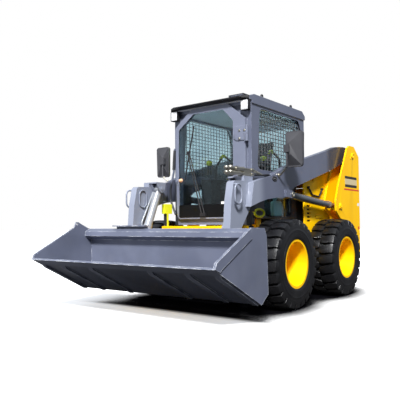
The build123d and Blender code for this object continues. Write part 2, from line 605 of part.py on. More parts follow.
def aux_couplers():
    """Auxiliary hydraulic quick couplers in two rows on a bracket over the left elbow."""
    base = TILT_PIN_Z + 62 + SEAT
    rear = TILT_PIN_Y + 55
    body = block(LEG_INNER, ARM_INNER - SWING, TILT_PIN_Y - 75, rear, base, base + 70)
    for row in range(2):
        for column in range(2):
            x = LEG_INNER + 12 + column * 42
            z = base + 20 + row * 40
            tip = TILT_PIN_Y - 290 + row * 60
            body += round_bar((x, tip, z - 6), (x, tip + 34, z - 5), 12)
            body += round_bar((x, tip + 30, z - 5), (x, tip + 165, z), 18)
            body += round_bar((x, tip + 160, z), (x, rear + 20, z), 11)
            body += round_bar((x, rear - 5, z), (x, rear + 36, z), 16)
    return body


# ================================================================ cylinders
def barrel_along(base, tip, radius, length, x, eye_thickness):
    """Cylinder barrel with its base eye, from the base pin towards the other pin."""
    run = Vector(0, tip[0] - base[0], tip[1] - base[1]).normalized()
    start = Vector(x, *base)
    body = cross_pin(base[0], base[1], EYE_RADIUS, x - eye_thickness / 2, x + eye_thickness / 2)
    body += round_bar(start, start + run * (EYE_NECK + 4), eye_thickness / 2 - 1)
    body += round_bar(start + run * EYE_NECK, start + run * length, radius)
    body += round_bar(start + run * (length - 40), start + run * (length + 12), radius + 4)
    body -= cross_pin(base[0], base[1], CYLINDER_PIN_RADIUS + PIN_PLAY, x - 60, x + 60)
    return body


def bored_for(body, base, tip, x, depth_start, depth_end, radius):
    """Bore a barrel out along its axis for its rod."""
    run = Vector(0, tip[0] - base[0], tip[1] - base[1]).normalized()
    start = Vector(x, *base)
    return body - round_bar(start + run * depth_start, start + run * depth_end, radius)


def rod_along(base, tip, radius, depth, x, eye_thickness):
    """Piston rod from its eye back into the barrel, with its own pin in the eye."""
    run = Vector(0, tip[0] - base[0], tip[1] - base[1]).normalized()
    start = Vector(x, *base)
    body = round_bar(start + run * depth, Vector(x, *tip), radius)
    body += cross_pin(tip[0], tip[1], EYE_RADIUS, x - eye_thickness / 2, x + eye_thickness / 2)
    return body


def lift_cylinder(side):
    base = (LIFT_PIN_Y, LIFT_PIN_Z)
    tip = (LIFT_BASE_Y, LIFT_BASE_Z)
    barrel = barrel_along(base, tip, LIFT_BARREL_RADIUS, LIFT_BARREL_LENGTH, LIFT_CYLINDER_X,
                          EYE_THICKNESS)
    barrel = bored_for(barrel, base, tip, LIFT_CYLINDER_X, EYE_NECK + 12, LIFT_BARREL_LENGTH + 20,
                       LIFT_ROD_RADIUS + PIN_PLAY)
    rod = rod_along(base, tip, LIFT_ROD_RADIUS, EYE_NECK + 17, LIFT_CYLINDER_X, EYE_THICKNESS)
    if side < 0:
        return other_side(barrel), other_side(rod)
    return barrel, rod


def coupler_pin():
    step_y, step_z = turned(COUPLER_PIN_REACH, COUPLER_PIN_ANGLE)
    return BUCKET_PIVOT_Y + step_y, BUCKET_PIVOT_Z + step_z


def tilt_cylinder(side):
    base = (TILT_PIN_Y, TILT_PIN_Z)
    tip = coupler_pin()
    barrel = barrel_along(base, tip, TILT_BARREL_RADIUS, TILT_BARREL_LENGTH, TILT_CYLINDER_X,
                          EYE_THICKNESS)
    barrel = bored_for(barrel, base, tip, TILT_CYLINDER_X, EYE_NECK + 12, TILT_BARREL_LENGTH + 20,
                       TILT_ROD_RADIUS + PIN_PLAY)
    rod = rod_along(base, tip, TILT_ROD_RADIUS, EYE_NECK + 17, TILT_CYLINDER_X, EYE_THICKNESS)
    if side < 0:
        return other_side(barrel), other_side(rod)
    return barrel, rod


# ================================================================ coupler and bucket
def bucket_rear_y(z):
    """Y of the bucket's rear face at a height."""
    lean = (BUCKET_TOP_BACK_Y - BUCKET_BACK_Y) / (BUCKET_TOP_Z - 55 - BUCKET_BACK_Z)
    return BUCKET_BACK_Y + lean * (z - BUCKET_BACK_Z)


def coupler_ear(x_low, x_high, with_cylinder):
    """Plate behind the coupler sheet, round the bucket pivot and the cylinder pin."""
    pin_y, pin_z = coupler_pin()
    inside = COUPLER_SHEET / 2
    bottom, top = COUPLER_BOTTOM + 15, BUCKET_PIVOT_Z + 160
    ear = cross_pin(BUCKET_PIVOT_Y, BUCKET_PIVOT_Z, 50, x_low, x_high)
    rear = [(BUCKET_PIVOT_Y + 50, BUCKET_PIVOT_Z), (BUCKET_PIVOT_Y, BUCKET_PIVOT_Z + 50)]
    if with_cylinder:
        top = pin_z + 120
        ear += cross_pin(pin_y, pin_z, 46, x_low, x_high)
        rear = [(BUCKET_PIVOT_Y + 50, BUCKET_PIVOT_Z), (pin_y + 46, pin_z), (pin_y, pin_z + 46)]
    points = [(bucket_rear_y(bottom) + inside, bottom), (BUCKET_PIVOT_Y, BUCKET_PIVOT_Z - 50)]
    return ear + side_sheet(points + rear + [(bucket_rear_y(top) + inside, top)], x_low, x_high)


def coupler():
    """Quick attach frame between the legs and the bucket, with its ears and pins."""
    lane_inner, lane_outer = TILT_LANE
    front_low = bucket_rear_y(COUPLER_BOTTOM) + SEAT
    front_high = bucket_rear_y(COUPLER_TOP) + SEAT
    sheet = [
        (front_low, COUPLER_BOTTOM), (front_high, COUPLER_TOP),
        (front_high + COUPLER_SHEET, COUPLER_TOP), (front_low + COUPLER_SHEET, COUPLER_BOTTOM),
    ]
    body = side_sheet(sheet, -COUPLER_HALF_WIDTH, COUPLER_HALF_WIDTH)
    half = [
        coupler_ear(lane_inner - COUPLER_PLATE, lane_inner, True),
        coupler_ear(lane_outer, LEG_INNER - SWING, True),
        coupler_ear(LEG_OUTER + SWING, LEG_OUTER + SWING + COUPLER_PLATE, False),
        cross_pin(BUCKET_PIVOT_Y, BUCKET_PIVOT_Z, PIVOT_PIN_RADIUS, lane_outer,
                  LEG_OUTER + SWING + COUPLER_PLATE + 8),
    ]
    for piece in half:
        body += piece
        body += other_side(piece)
    return body


def bucket_outer():
    """Side outline of the bucket, rolled back: tip, floor, heel, back and top."""
    return [
        (BUCKET_TIP_Y, BUCKET_TIP_Z), (BUCKET_HEEL_Y, BUCKET_HEEL_Z),
        (BUCKET_BACK_Y, BUCKET_BACK_Z), (BUCKET_TOP_BACK_Y, BUCKET_TOP_Z - 55),
        (BUCKET_TOP_Y - 16, BUCKET_TOP_Z + 3), (BUCKET_TOP_Y - 214, BUCKET_TOP_Z + 8),
        (BUCKET_TIP_Y + 20, BUCKET_TIP_Z + 46),
    ]


def bucket_top():
    """Box-shaped upper lip, in section from its lower rear corner round over the ridge."""
    return [
        (BUCKET_TOP_BACK_Y - 1, BUCKET_TOP_Z - 110), (BUCKET_TOP_BACK_Y + 2, BUCKET_TOP_Z - 40),
        (BUCKET_TOP_Y - 10, BUCKET_TOP_Z), (BUCKET_TOP_Y - 72, BUCKET_TOP_Z - 28),
        (BUCKET_TOP_Y - 78, BUCKET_TOP_Z - 72),
    ]


def side_strip():
    """Strip along the sloping front edge of a side plate."""
    top_y, top_z = BUCKET_TOP_Y - 214, BUCKET_TOP_Z + 8
    return [
        (BUCKET_TIP_Y + 20, BUCKET_TIP_Z + 46), (BUCKET_TIP_Y + 3, BUCKET_TIP_Z + 2),
        (BUCKET_TIP_Y + 60, BUCKET_TIP_Z - 22), (BUCKET_TIP_Y + 88, BUCKET_TIP_Z),
        (top_y + 4, top_z - 82), (top_y, top_z),
    ]


def wear_bars():
    """Bars under the bucket's floor that it slides on."""
    run_y, run_z = BUCKET_HEEL_Y - BUCKET_TIP_Y, BUCKET_HEEL_Z - BUCKET_TIP_Z
    length = math.hypot(run_y, run_z)
    down_y, down_z = run_z / length * WEAR_BAR_DEPTH, -run_y / length * WEAR_BAR_DEPTH
    ends = [(BUCKET_TIP_Y + run_y * share, BUCKET_TIP_Z + run_z * share) for share in (0.14, 0.97)]
    outline = [
        (ends[0][0], ends[0][1] + 4), (ends[1][0], ends[1][1] + 4),
        (ends[1][0] + down_y, ends[1][1] + down_z), (ends[0][0] + down_y + 40, ends[0][1] + down_z - 20),
    ]
    bars = []
    for share in WEAR_BAR_PLACES:
        for side in (-1, 1):
            middle = side * share * BUCKET_HALF_WIDTH
            bars.append(side_sheet(outline, middle - WEAR_BAR_WIDTH / 2, middle + WEAR_BAR_WIDTH / 2))
    return bars


def bucket():
    """General purpose bucket: bent sheet, side plates, cutting edge, box lip and wear bars."""
    plate_outer = BUCKET_HALF_WIDTH - SIDE_STRIP
    inner_half = plate_outer - BUCKET_SHEET
    sheet_path = [
        (BUCKET_TIP_Y + 30, BUCKET_TIP_Z - 15), (BUCKET_HEEL_Y, BUCKET_HEEL_Z),
        (BUCKET_BACK_Y, BUCKET_BACK_Z), (BUCKET_TOP_BACK_Y, BUCKET_TOP_Z - 55),
    ]
    inside = [
        (BUCKET_TIP_Y + 35, BUCKET_TIP_Z - 3), (BUCKET_HEEL_Y + 4, BUCKET_HEEL_Z + 14),
        (BUCKET_BACK_Y - BUCKET_SHEET, BUCKET_BACK_Z + 5),
        (BUCKET_TOP_BACK_Y - BUCKET_SHEET, BUCKET_TOP_Z - 55),
    ]
    edge = [
        (BUCKET_TIP_Y, BUCKET_TIP_Z), (BUCKET_TIP_Y + 170, BUCKET_TIP_Z - 86),
        (BUCKET_TIP_Y + 180, BUCKET_TIP_Z - 68), (BUCKET_TIP_Y + 20, BUCKET_TIP_Z + 12),
    ]
    body = side_sheet(sheet_path + inside[::-1], -inner_half - 1, inner_half + 1)
    body += side_sheet(edge, -inner_half - 1, inner_half + 1)
    body += side_sheet(bucket_top(), -inner_half - 1, inner_half + 1)
    plate = side_sheet(bucket_outer(), inner_half, plate_outer)
    plate += side_sheet(side_strip(), plate_outer - 1, BUCKET_HALF_WIDTH)
    body += plate
    body += other_side(plate)
    body += wear_bars()
    ridge_y, ridge_z = BUCKET_TOP_Y - 10, BUCKET_TOP_Z
    tab = side_sheet([(ridge_y - 205, ridge_z), (ridge_y - 178, ridge_z + 66), (ridge_y - 150, ridge_z + 66),
                      (ridge_y - 110, ridge_z + 44), (ridge_y - 10, ridge_z)], -plate_outer, -inner_half)
    tab -= cross_pin(ridge_y - 164, ridge_z + 44, 9, -plate_outer - 1, 1 - inner_half)
    body += tab
    tread = [
        (BUCKET_TOP_BACK_Y, ridge_z - 60), (BUCKET_TOP_BACK_Y + 12, ridge_z - 60),
        (BUCKET_TOP_BACK_Y + 12, ridge_z + 30), (BUCKET_TOP_BACK_Y - 58, ridge_z + 30),
        (BUCKET_TOP_BACK_Y - 58, ridge_z + 20), (BUCKET_TOP_BACK_Y, ridge_z + 20),
    ]
    return body + side_sheet(tread, -LEG_OUTER - 43, -LEG_OUTER + 377)


# ================================================================ cab
def cab_side_outline():
    return [
        (CAB_FRONT, CAB_APRON), (CAB_FRONT + CAB_WALL, CAB_APRON), (CAB_FRONT + CAB_WALL, CAB_FLOOR),
        (CAB_STEP_Y, CAB_FLOOR), (CAB_STEP_Y, CAB_BACK_FLOOR),
        (CAB_REAR, CAB_BACK_FLOOR), (CAB_REAR, CAB_EAVES), (CAB_FRONT, CAB_EAVES),
    ]


SIDE_WINDOW = [
    (CAB_FRONT + 106, CAB_BACK_FLOOR + 40), (CAB_FRONT + 158, CAB_EAVES - 27),
    (CAB_REAR - 130, CAB_EAVES - 27), (CAB_REAR - 52, CAB_EAVES - 205), (CAB_REAR - 52, CAB_BACK_FLOOR + 40),
]
LOWER_WINDOW = [(126, CAB_FLOOR + 22), (126, 1186), (690, 1186), (690, CAB_FLOOR + 22)]


def cab_side(side):
    """Side wall of the cab with its two window openings and the tilting pivot's pin."""
    wall = side_sheet(cab_side_outline(), CAB_INNER, CAB_HALF_WIDTH)
    wall -= side_sheet(SIDE_WINDOW, CAB_INNER - 1, CAB_HALF_WIDTH + 1, WINDOW_RADIUS)
    wall -= side_sheet(LOWER_WINDOW, CAB_INNER - 1, CAB_HALF_WIDTH + 1, WINDOW_RADIUS)
    pivot_end = PANEL_OUTER - PANEL_THICKNESS - SWING
    wall += cross_pin(CAB_PIVOT_Y, CAB_PIVOT_Z, CAB_PIVOT_RADIUS, CAB_HALF_WIDTH - 1, pivot_end)
    if side > 0:
        return wall
    return other_side(wall) + handrail()


def handrail():
    """Bent rail beside the door, on the right front corner of the cab."""
    y = CAB_FRONT - 20
    top, foot = (-CAB_HALF_WIDTH + 14, y, CAB_EAVES - 365), (-CAB_HALF_WIDTH + 18, y, CAB_FLOOR + 56)
    bow = 12 - LEG_INNER
    rail = bent_bar([top, (-CAB_HALF_WIDTH - 2, y, 1330), (bow, y, 1150), (bow, y, 1035), foot], 11, 60)
    for end in (top, foot):
        rail += round_bar(end, (end[0], CAB_FRONT + 4, end[2]), 9)
        rail += Pos(*end) * Sphere(11)
    return rail


def side_glass(side):
    """Upper and lower panes of one side, seated in their openings."""
    low = CAB_INNER + 8
    panes = []
    for points in (SIDE_WINDOW, LOWER_WINDOW):
        face = Plane.YZ.offset(low) * inset_outline(points, SEAT, WINDOW_RADIUS)
        pane = extrude(face, amount=GLASS, dir=(1, 0, 0))
        panes.append(pane if side > 0 else other_side(pane))
    return panes


def side_mesh(side):
    """Wire guard in the upper side window: a rim with crossing bars."""
    low = CAB_HALF_WIDTH - 10
    outer = Plane.YZ.offset(low) * inset_outline(SIDE_WINDOW, SEAT, WINDOW_RADIUS)
    inner = Plane.YZ.offset(low) * inset_outline(SIDE_WINDOW, 14, WINDOW_RADIUS)
    bars = extrude(outer, amount=8, dir=(1, 0, 0))
    guard = bars - extrude(inner, amount=8, dir=(1, 0, 0))
    front, rear = SIDE_WINDOW[0][0], SIDE_WINDOW[3][0]
    bottom, top = SIDE_WINDOW[0][1], SIDE_WINDOW[1][1]
    for step in range(1, int((rear - front) / MESH_PITCH)):
        y = front + step * MESH_PITCH
        guard += bars & block(low + 1, low + 1 + MESH_BAR, y, y + MESH_BAR, bottom, top)
    for step in range(1, int((top - bottom) / MESH_PITCH)):
        z = bottom + step * MESH_PITCH
        guard += bars & block(low + 1, low + 1 + MESH_BAR, front, rear, z, z + MESH_BAR)
    return guard if side > 0 else other_side(guard)


REAR_HALF = CAB_HALF_WIDTH - 124
REAR_WINDOW = [
    (-REAR_HALF, 1400), (-REAR_HALF, CAB_EAVES - 80), (REAR_HALF, CAB_EAVES - 80), (REAR_HALF, 1400),
]


def cab_rear():
    inner = CAB_INNER - SEAT
    wall = block(-inner, inner, CAB_REAR - CAB_WALL, CAB_REAR, CAB_BACK_FLOOR, CAB_EAVES)
    return wall - front_sheet(REAR_WINDOW, CAB_REAR - CAB_WALL - 1, CAB_REAR + 1, 40)


def rear_glass():
    face = Pos(0, CAB_REAR - 20, 0) * (Plane.XZ * inset_outline(REAR_WINDOW, SEAT, 40))
    return extrude(face, amount=GLASS, dir=(0, 1, 0))


DOOR_EDGE = CAB_HALF_WIDTH - 49
DOOR_OUTLINE = [
    (20 - DOOR_EDGE, CAB_FLOOR + 2), (DOOR_EDGE - 20, CAB_FLOOR + 2), (DOOR_EDGE, 930),
    (DOOR_EDGE, CAB_EAVES - 142),
    (DOOR_EDGE - 200, CAB_EAVES + 22), (200 - DOOR_EDGE, CAB_EAVES + 22),
    (-DOOR_EDGE - 4, CAB_EAVES - 142), (-DOOR_EDGE - 8, 1500), (-DOOR_EDGE, 1210), (-DOOR_EDGE, 930),
]
DOOR_PANE = [
    (58 - DOOR_EDGE, CAB_FLOOR + 66), (DOOR_EDGE - 160, CAB_FLOOR + 66), (DOOR_EDGE - 142, 960),
    (DOOR_EDGE - 138, CAB_EAVES - 150), (DOOR_EDGE - 255, CAB_EAVES - 28),
    (228 - DOOR_EDGE, CAB_EAVES - 28), (36 - DOOR_EDGE, CAB_EAVES - 172), (30 - DOOR_EDGE, 1500),
    (37 - DOOR_EDGE, 1210), (38 - DOOR_EDGE, 950),
]


def cab_front():
    """Front frame of the cab round the door opening, with the fixed halves of its hinges."""
    inner = CAB_INNER - SEAT
    wall = block(-inner, inner, CAB_FRONT, CAB_FRONT + CAB_WALL, CAB_APRON, CAB_EAVES)
    opening = Plane.XZ * inset_outline(DOOR_OUTLINE, 30, DOOR_CORNER)
    wall -= extrude(Pos(0, CAB_FRONT - 1, 0) * opening, amount=CAB_WALL + 2, dir=(0, 1, 0))
    for height in HINGE_HEIGHTS:
        low, high = height - 76, height - 1
        wall += block(DOOR_HINGE_X - 26, DOOR_HINGE_X - 21, DOOR_HINGE_Y, CAB_FRONT + 1, low, high)
        wall += block(DOOR_HINGE_X - 26, DOOR_HINGE_X, DOOR_HINGE_Y - 4, DOOR_HINGE_Y + 4, low, high)
        wall += upright(DOOR_HINGE_X, DOOR_HINGE_Y, HINGE_RADIUS, low, high)
        wall += upright(DOOR_HINGE_X, DOOR_HINGE_Y, HINGE_PIN_RADIUS, high - 3, height + 70)
    return wall


def door_frame():
    """Door ring, wide on its hinge side, with hinge plates, knuckles and a latch knob."""
    ring = front_sheet(DOOR_OUTLINE, DOOR_FRONT, DOOR_BACK, DOOR_CORNER)
    ring -= front_sheet(DOOR_PANE, DOOR_FRONT - 1, DOOR_BACK + 1, DOOR_CORNER)
    for height in HINGE_HEIGHTS:
        low, high = height + 1, height + 75
        plate = [
            (DOOR_HINGE_X - 155, low - 40), (DOOR_HINGE_X - 120, low - 62), (DOOR_HINGE_X - 38, low - 62),
            (DOOR_HINGE_X - 38, high), (DOOR_HINGE_X - 155, high),
        ]
        ring += front_sheet(plate, DOOR_FRONT - 10, DOOR_FRONT + 1)
        ring += block(DOOR_HINGE_X - 60, DOOR_HINGE_X - 6, DOOR_FRONT - 10, DOOR_FRONT + 1, low, high)
        ring += upright(DOOR_HINGE_X, DOOR_HINGE_Y, HINGE_RADIUS, low, high)
        ring -= upright(DOOR_HINGE_X, DOOR_HINGE_Y, HINGE_PIN_RADIUS + PIN_PLAY, low - 6, high + 5)
    knob_x, knob_z = 20 - DOOR_EDGE, 1228
    ring += block(knob_x - 16, knob_x + 14, DOOR_FRONT - 8, DOOR_FRONT + 1, knob_z - 34, knob_z + 34)
    ring += round_bar((knob_x, DOOR_FRONT + 1, knob_z), (knob_x, DOOR_FRONT - 22, knob_z), 13)
    return ring


def door_glass():
    face = Pos(0, DOOR_FRONT + 12, 0) * (Plane.XZ * inset_outline(DOOR_PANE, SEAT, DOOR_CORNER))
    return extrude(face, amount=GLASS, dir=(0, 1, 0))


def wiper():
    """Parallel arm wiper on the door's lower rail."""
    y = DOOR_FRONT - 14
    pivot_z, join_z = CAB_FLOOR + 46, 1505
    body = block(-106, -38, y - 8, DOOR_FRONT - SEAT, pivot_z - 22, pivot_z + 14)
    body += round_bar((-54, y, pivot_z), (-242, y, join_z), 6)
    body += round_bar((-90, y, pivot_z), (-264, y, join_z), 6)
    body += block(-276, -230, y - 6, y + 6, join_z - 14, join_z + 16)
    body += round_bar((-181, y + 2, 1778), (-303, y + 2, 1233), 7)
    return body


def cab_floor():
    """Stepped floor pan: foot well, riser and the deck behind the seat."""
    inner = CAB_INNER - SEAT
    front = CAB_FRONT + CAB_WALL + SEAT
    rear = CAB_REAR - CAB_WALL - SEAT
    outline = [
        (front, CAB_FLOOR), (CAB_STEP_Y, CAB_FLOOR), (CAB_STEP_Y, CAB_BACK_FLOOR),
        (rear, CAB_BACK_FLOOR), (rear, CAB_BACK_FLOOR + 20), (CAB_STEP_Y - 20, CAB_BACK_FLOOR + 20),
        (CAB_STEP_Y - 20, CAB_FLOOR + 20), (front, CAB_FLOOR + 20),
    ]
    return side_sheet(outline, -inner, inner)


def cab_roof():
    """Roof slab with an overhang above the door, four lifting eyes and a beacon bracket."""
    front = CAB_FRONT - ROOF_OVERHANG
    outline = [
        (CAB_FRONT, CAB_EAVES + SEAT), (CAB_FRONT, CAB_EAVES + 28), (front, CAB_EAVES + 28),
        (front, CAB_EAVES + 60), (CAB_FRONT + 40, ROOF_TOP), (CAB_REAR - 60, ROOF_TOP),
        (CAB_REAR + 8, CAB_EAVES + 40), (CAB_REAR + 8, CAB_EAVES + SEAT),
    ]
    roof = side_sheet(outline, -ROOF_HALF_WIDTH, ROOF_HALF_WIDTH)
    for side in (-1, 1):
        for y in EYE_PLACES:
            x = side * EYE_X
            roof += cross_pin(y, ROOF_TOP + 24, 22, x - 6, x + 6)
            roof += block(x - 6, x + 6, y - 16, y + 16, ROOF_TOP - 1, ROOF_TOP + 14)
            roof -= cross_pin(y, ROOF_TOP + 24, EYE_HOLE, x - 8, x + 8)
    low, high = EYE_X - 258, EYE_X - 84
    bracket = [
        (low, ROOF_TOP - 1), (low, ROOF_TOP + 34),
        (high, ROOF_TOP + 34), (high, ROOF_TOP - 1),
        (high - 9, ROOF_TOP - 1), (high - 9, ROOF_TOP + 25),
        (low + 9, ROOF_TOP + 25), (low + 9, ROOF_TOP - 1),
    ]
    return roof + front_sheet(bracket, CAB_FRONT + 50, CAB_FRONT + 190)


def visor():
    """Black lip along the front of the roof, cut back at its corners."""
    rear = CAB_FRONT - ROOF_OVERHANG - SEAT
    front = rear - VISOR_REACH
    section = [
        (rear, CAB_EAVES + 32), (rear, CAB_EAVES + 64), (front, CAB_EAVES + 60), (front, CAB_EAVES + 48),
    ]
    corner = ROOF_HALF_WIDTH - 78
    plan = [
        (-ROOF_HALF_WIDTH, rear), (ROOF_HALF_WIDTH, rear), (ROOF_HALF_WIDTH, rear - 6), (corner, front),
        (-corner, front), (-ROOF_HALF_WIDTH, rear - 6),
    ]
    bar = side_sheet(section, -ROOF_HALF_WIDTH, ROOF_HALF_WIDTH)
    return bar & plan_sheet(plan, CAB_EAVES, ROOF_TOP)


def work_lamps():
    """Two square lamps beside the door's top, each with a sunk lens face, fins and a foot."""
    lamps = []
    outer = CAB_HALF_WIDTH - 16
    low_z, high_z = CAB_EAVES + 16 - LAMP_HEIGHT, CAB_EAVES + 16
    for side in (-1, 1):
        low, high = sorted((side * (outer - LAMP_WIDTH), side * outer))
        front = CAB_FRONT - 62
        lamp = block(low, high, front, front + 30, low_z, high_z)
        lamp -= block(low + 7, high - 7, front - 1, front + 5, low_z + 7, high_z - 7)
        for step in range(4):
            fin = low + 8 + step * (LAMP_WIDTH - 22) / 3
            lamp += block(fin, fin + 6, front + 29, front + 46, low_z + 8, high_z - 8)
        lamp += block(low + 18, high - 18, front + 29, CAB_FRONT - SEAT, low_z + 26, high_z - 26)
        lamps.append(lamp)
    return lamps


def seat_base():
    return block(-190, 190, 440, 760, CAB_FLOOR + 20 + SEAT, SEAT_HEIGHT - 110)


def seat_pads():
    """Cushion and back rest of the operator's seat."""
    cushion = block(-230, 230, 300, 740, SEAT_HEIGHT - 110 + SEAT, SEAT_HEIGHT)
    outline = [(660, SEAT_HEIGHT + SEAT), (745, SEAT_HEIGHT + SEAT), (865, 1700), (785, 1720)]
    return [cushion, side_sheet(outline, -220, 220, 20)]


def consoles():
    """Side consoles with their control levers and arm bars."""
    pieces = []
    for side in (-1, 1):
        inner, outer = side * (CAB_HALF_WIDTH - 184), side * (CAB_INNER - 5)
        low, high = sorted((inner, outer))
        body = block(low, high, 300, 760, CAB_FLOOR + 20 + SEAT, SEAT_HEIGHT + 40)
        lever = inner + side * 55
        body += round_bar((lever, 360, SEAT_HEIGHT + 38), (lever, 340, SEAT_HEIGHT + 150), 12)
        body += round_bar((lever, 340, SEAT_HEIGHT + 145), (lever, 330, SEAT_HEIGHT + 250), 24)
        bar_x = inner + side * 16
        body += bent_bar([(bar_x, 735, SEAT_HEIGHT + 36), (bar_x, 740, SEAT_HEIGHT + 250),
                          (bar_x, 560, SEAT_HEIGHT + 330), (bar_x, 420, SEAT_HEIGHT + 190),
                          (bar_x, 400, SEAT_HEIGHT + 36)], 13, 60)
        pieces.append(body)
    return pieces


# ================================================================ the machine
def build():
    nodes = {}
    for side, name in ((1, "left"), (-1, "right")):
        for axle_y, end in ((0, "front"), (WHEELBASE, "rear")):
            nodes[f"tyre_{end}_{name}"] = tyre(side, axle_y)
            nodes[f"rim_{end}_{name}"] = rim(side, axle_y)
        nodes[f"tower_{name}"] = tower(side)
        nodes[f"arm_{name}"] = arm(side)
        nodes[f"lift_barrel_{name}"], nodes[f"lift_rod_{name}"] = lift_cylinder(side)
        nodes[f"tilt_barrel_{name}"], nodes[f"tilt_rod_{name}"] = tilt_cylinder(side)
        nodes[f"cab_side_{name}"] = cab_side(side)
    nodes["main_frame"] = main_frame()
    nodes["front_step"] = front_step()
    nodes["engine_block"] = engine_block()
    nodes["engine_sides"] = [engine_side(1), engine_side(-1)]
    nodes["side_hoses"] = [side_hoses(1), side_hoses(-1)]
    nodes["counterweight"] = counterweight()
    nodes["hood"] = hood()
    nodes["rear_door"] = rear_door()
    nodes["cross_tube"] = cross_tube()
    nodes["mirrors"] = [mirror_unit(1), mirror_unit(-1)]
    nodes["aux_couplers"] = aux_couplers()
    nodes["coupler"] = coupler()
    nodes["bucket"] = bucket()
    nodes["cab_front"] = cab_front()
    nodes["cab_rear"] = cab_rear()
    nodes["cab_floor"] = cab_floor()
    nodes["cab_roof"] = cab_roof()
    nodes["cab_glass"] = side_glass(1) + side_glass(-1) + [rear_glass()]
    nodes["window_guards"] = [side_mesh(1), side_mesh(-1)]
    nodes["visor"] = visor()
    nodes["work_lamps"] = work_lamps()
    nodes["seat_base"] = seat_base()
    nodes["seat_pads"] = seat_pads()
    nodes["consoles"] = consoles()
    nodes["door_frame"] = door_frame()
    nodes["door_glass"] = door_glass()
    nodes["wiper"] = wiper()
    return nodes


if __name__ == "__main__":
    os.makedirs("parts", exist_ok=True)
    for name, shape in build().items():
        pieces = shape if isinstance(shape, list) else [shape]
        solids = [Pos(0, -MID_Y, 0) * solid for piece in pieces for solid in piece.solids()]
        whole = solids[0] if len(solids) == 1 else Compound(children=solids)
        export_step(whole, f"parts/{name}.step")
    print("parts written, middle of the length at Y =", MID_Y, "from the front axle")
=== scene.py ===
# %% [markdown]
# # A skid steer loader, dressed for its portrait
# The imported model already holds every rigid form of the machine: hull, towers,
# arms, bucket, cab and wheels. This notebook gives it paint, rubber, glass and
# the small things that a maker fits last. We start by importing that model and
# measuring it, because every later place is read from it and none is guessed.

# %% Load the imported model
import json
import math

import bmesh
import bpy
from mathutils import Euler, Matrix, Vector
from mathutils.bvhtree import BVHTree

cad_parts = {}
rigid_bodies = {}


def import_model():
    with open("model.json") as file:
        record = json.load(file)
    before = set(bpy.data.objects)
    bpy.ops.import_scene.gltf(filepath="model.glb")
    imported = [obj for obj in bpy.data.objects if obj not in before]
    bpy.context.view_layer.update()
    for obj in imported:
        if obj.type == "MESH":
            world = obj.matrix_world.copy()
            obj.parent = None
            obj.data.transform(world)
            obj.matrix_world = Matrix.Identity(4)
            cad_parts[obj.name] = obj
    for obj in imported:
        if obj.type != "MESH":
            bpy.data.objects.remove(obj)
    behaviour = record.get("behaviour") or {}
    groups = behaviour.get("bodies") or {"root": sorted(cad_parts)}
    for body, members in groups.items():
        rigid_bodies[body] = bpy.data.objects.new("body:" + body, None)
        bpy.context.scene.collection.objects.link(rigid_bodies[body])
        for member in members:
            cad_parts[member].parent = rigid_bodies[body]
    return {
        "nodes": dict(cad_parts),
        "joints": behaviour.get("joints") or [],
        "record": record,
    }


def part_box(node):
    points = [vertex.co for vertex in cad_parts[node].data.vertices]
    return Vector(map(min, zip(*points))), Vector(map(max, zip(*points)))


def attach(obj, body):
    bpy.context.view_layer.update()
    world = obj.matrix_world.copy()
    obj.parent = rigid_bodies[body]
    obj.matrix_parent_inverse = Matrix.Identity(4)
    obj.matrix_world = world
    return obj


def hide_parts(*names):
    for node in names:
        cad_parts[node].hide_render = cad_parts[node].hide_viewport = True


for leftover in list(bpy.data.objects):
    bpy.data.objects.remove(leftover)
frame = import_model()
nodes = frame["nodes"]
body_of_node = {node: body for body, members in frame["record"]["behaviour"]["bodies"].items()
                for node in members}
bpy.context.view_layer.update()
joint_at = {joint["name"]: Vector(joint.get("pos_m") or (0, 0, 0)) for joint in frame["joints"]}

# %% [markdown]
# ## Where we stand
# Sales pictures of such a machine are taken from just ahead of its left front
# wheel, with the lens low, at about the height of the tyres. The low lens makes
# the bucket look heavy and the cab tall. A normal lens from five metres keeps
# the wheels round, so we set the camera there and turn it a touch upwards.


# %% Camera
CAMERA_PLACE = Vector((3.085, -4.6005, 0.779))
CAMERA_TURN = Euler((math.radians(92.63), math.radians(0.44), math.radians(37.46)))


def into_scene(name, data):
    """A new object that holds this data, linked to the scene."""
    obj = bpy.data.objects.new(name, data)
    bpy.context.scene.collection.objects.link(obj)
    return obj


camera = into_scene("camera", bpy.data.cameras.new("camera"))
camera.data.lens = 47.14
camera.data.sensor_width = 36.0
camera.location = CAMERA_PLACE
camera.rotation_euler = CAMERA_TURN
bpy.context.scene.camera = camera
print("camera stands", round((CAMERA_PLACE - joint_at["front_left_wheel_roll"]).length, 2),
      "m from the front wheel")

# %% [markdown]
# ## Small tools for colour and nodes
# Paint makers give colours as screen values from 0 to 255, while a shader works
# with linear light, so one helper turns the first into the second. Two more
# helpers place a node and join sockets, which keeps the material cells short.


# %% Colour and node helpers
def ink(red, green, blue):
    """Screen colour from 0 to 255 as linear light."""
    def linear(value):
        value /= 255
        return value / 12.92 if value <= 0.04045 else ((value + 0.055) / 1.055) ** 2.4
    return (linear(red), linear(green), linear(blue), 1.0)


def add_node(tree, kind, inputs=None, **settings):
    """A node with its settings, and its inputs set to values or joined to sockets."""
    node = tree.nodes.new("ShaderNode" + kind)
    for key, value in settings.items():
        setattr(node, key, value)
    for key, value in (inputs or {}).items():
        if isinstance(value, bpy.types.NodeSocket):
            tree.links.new(value, node.inputs[key])
        else:
            node.inputs[key].default_value = value
    return node


def blend_colours(tree, factor, low, high):
    """Mix two colours, given as sockets or values, by a factor."""
    return add_node(tree, "Mix", {0: factor, 6: low, 7: high},
                    data_type="RGBA").outputs[2]


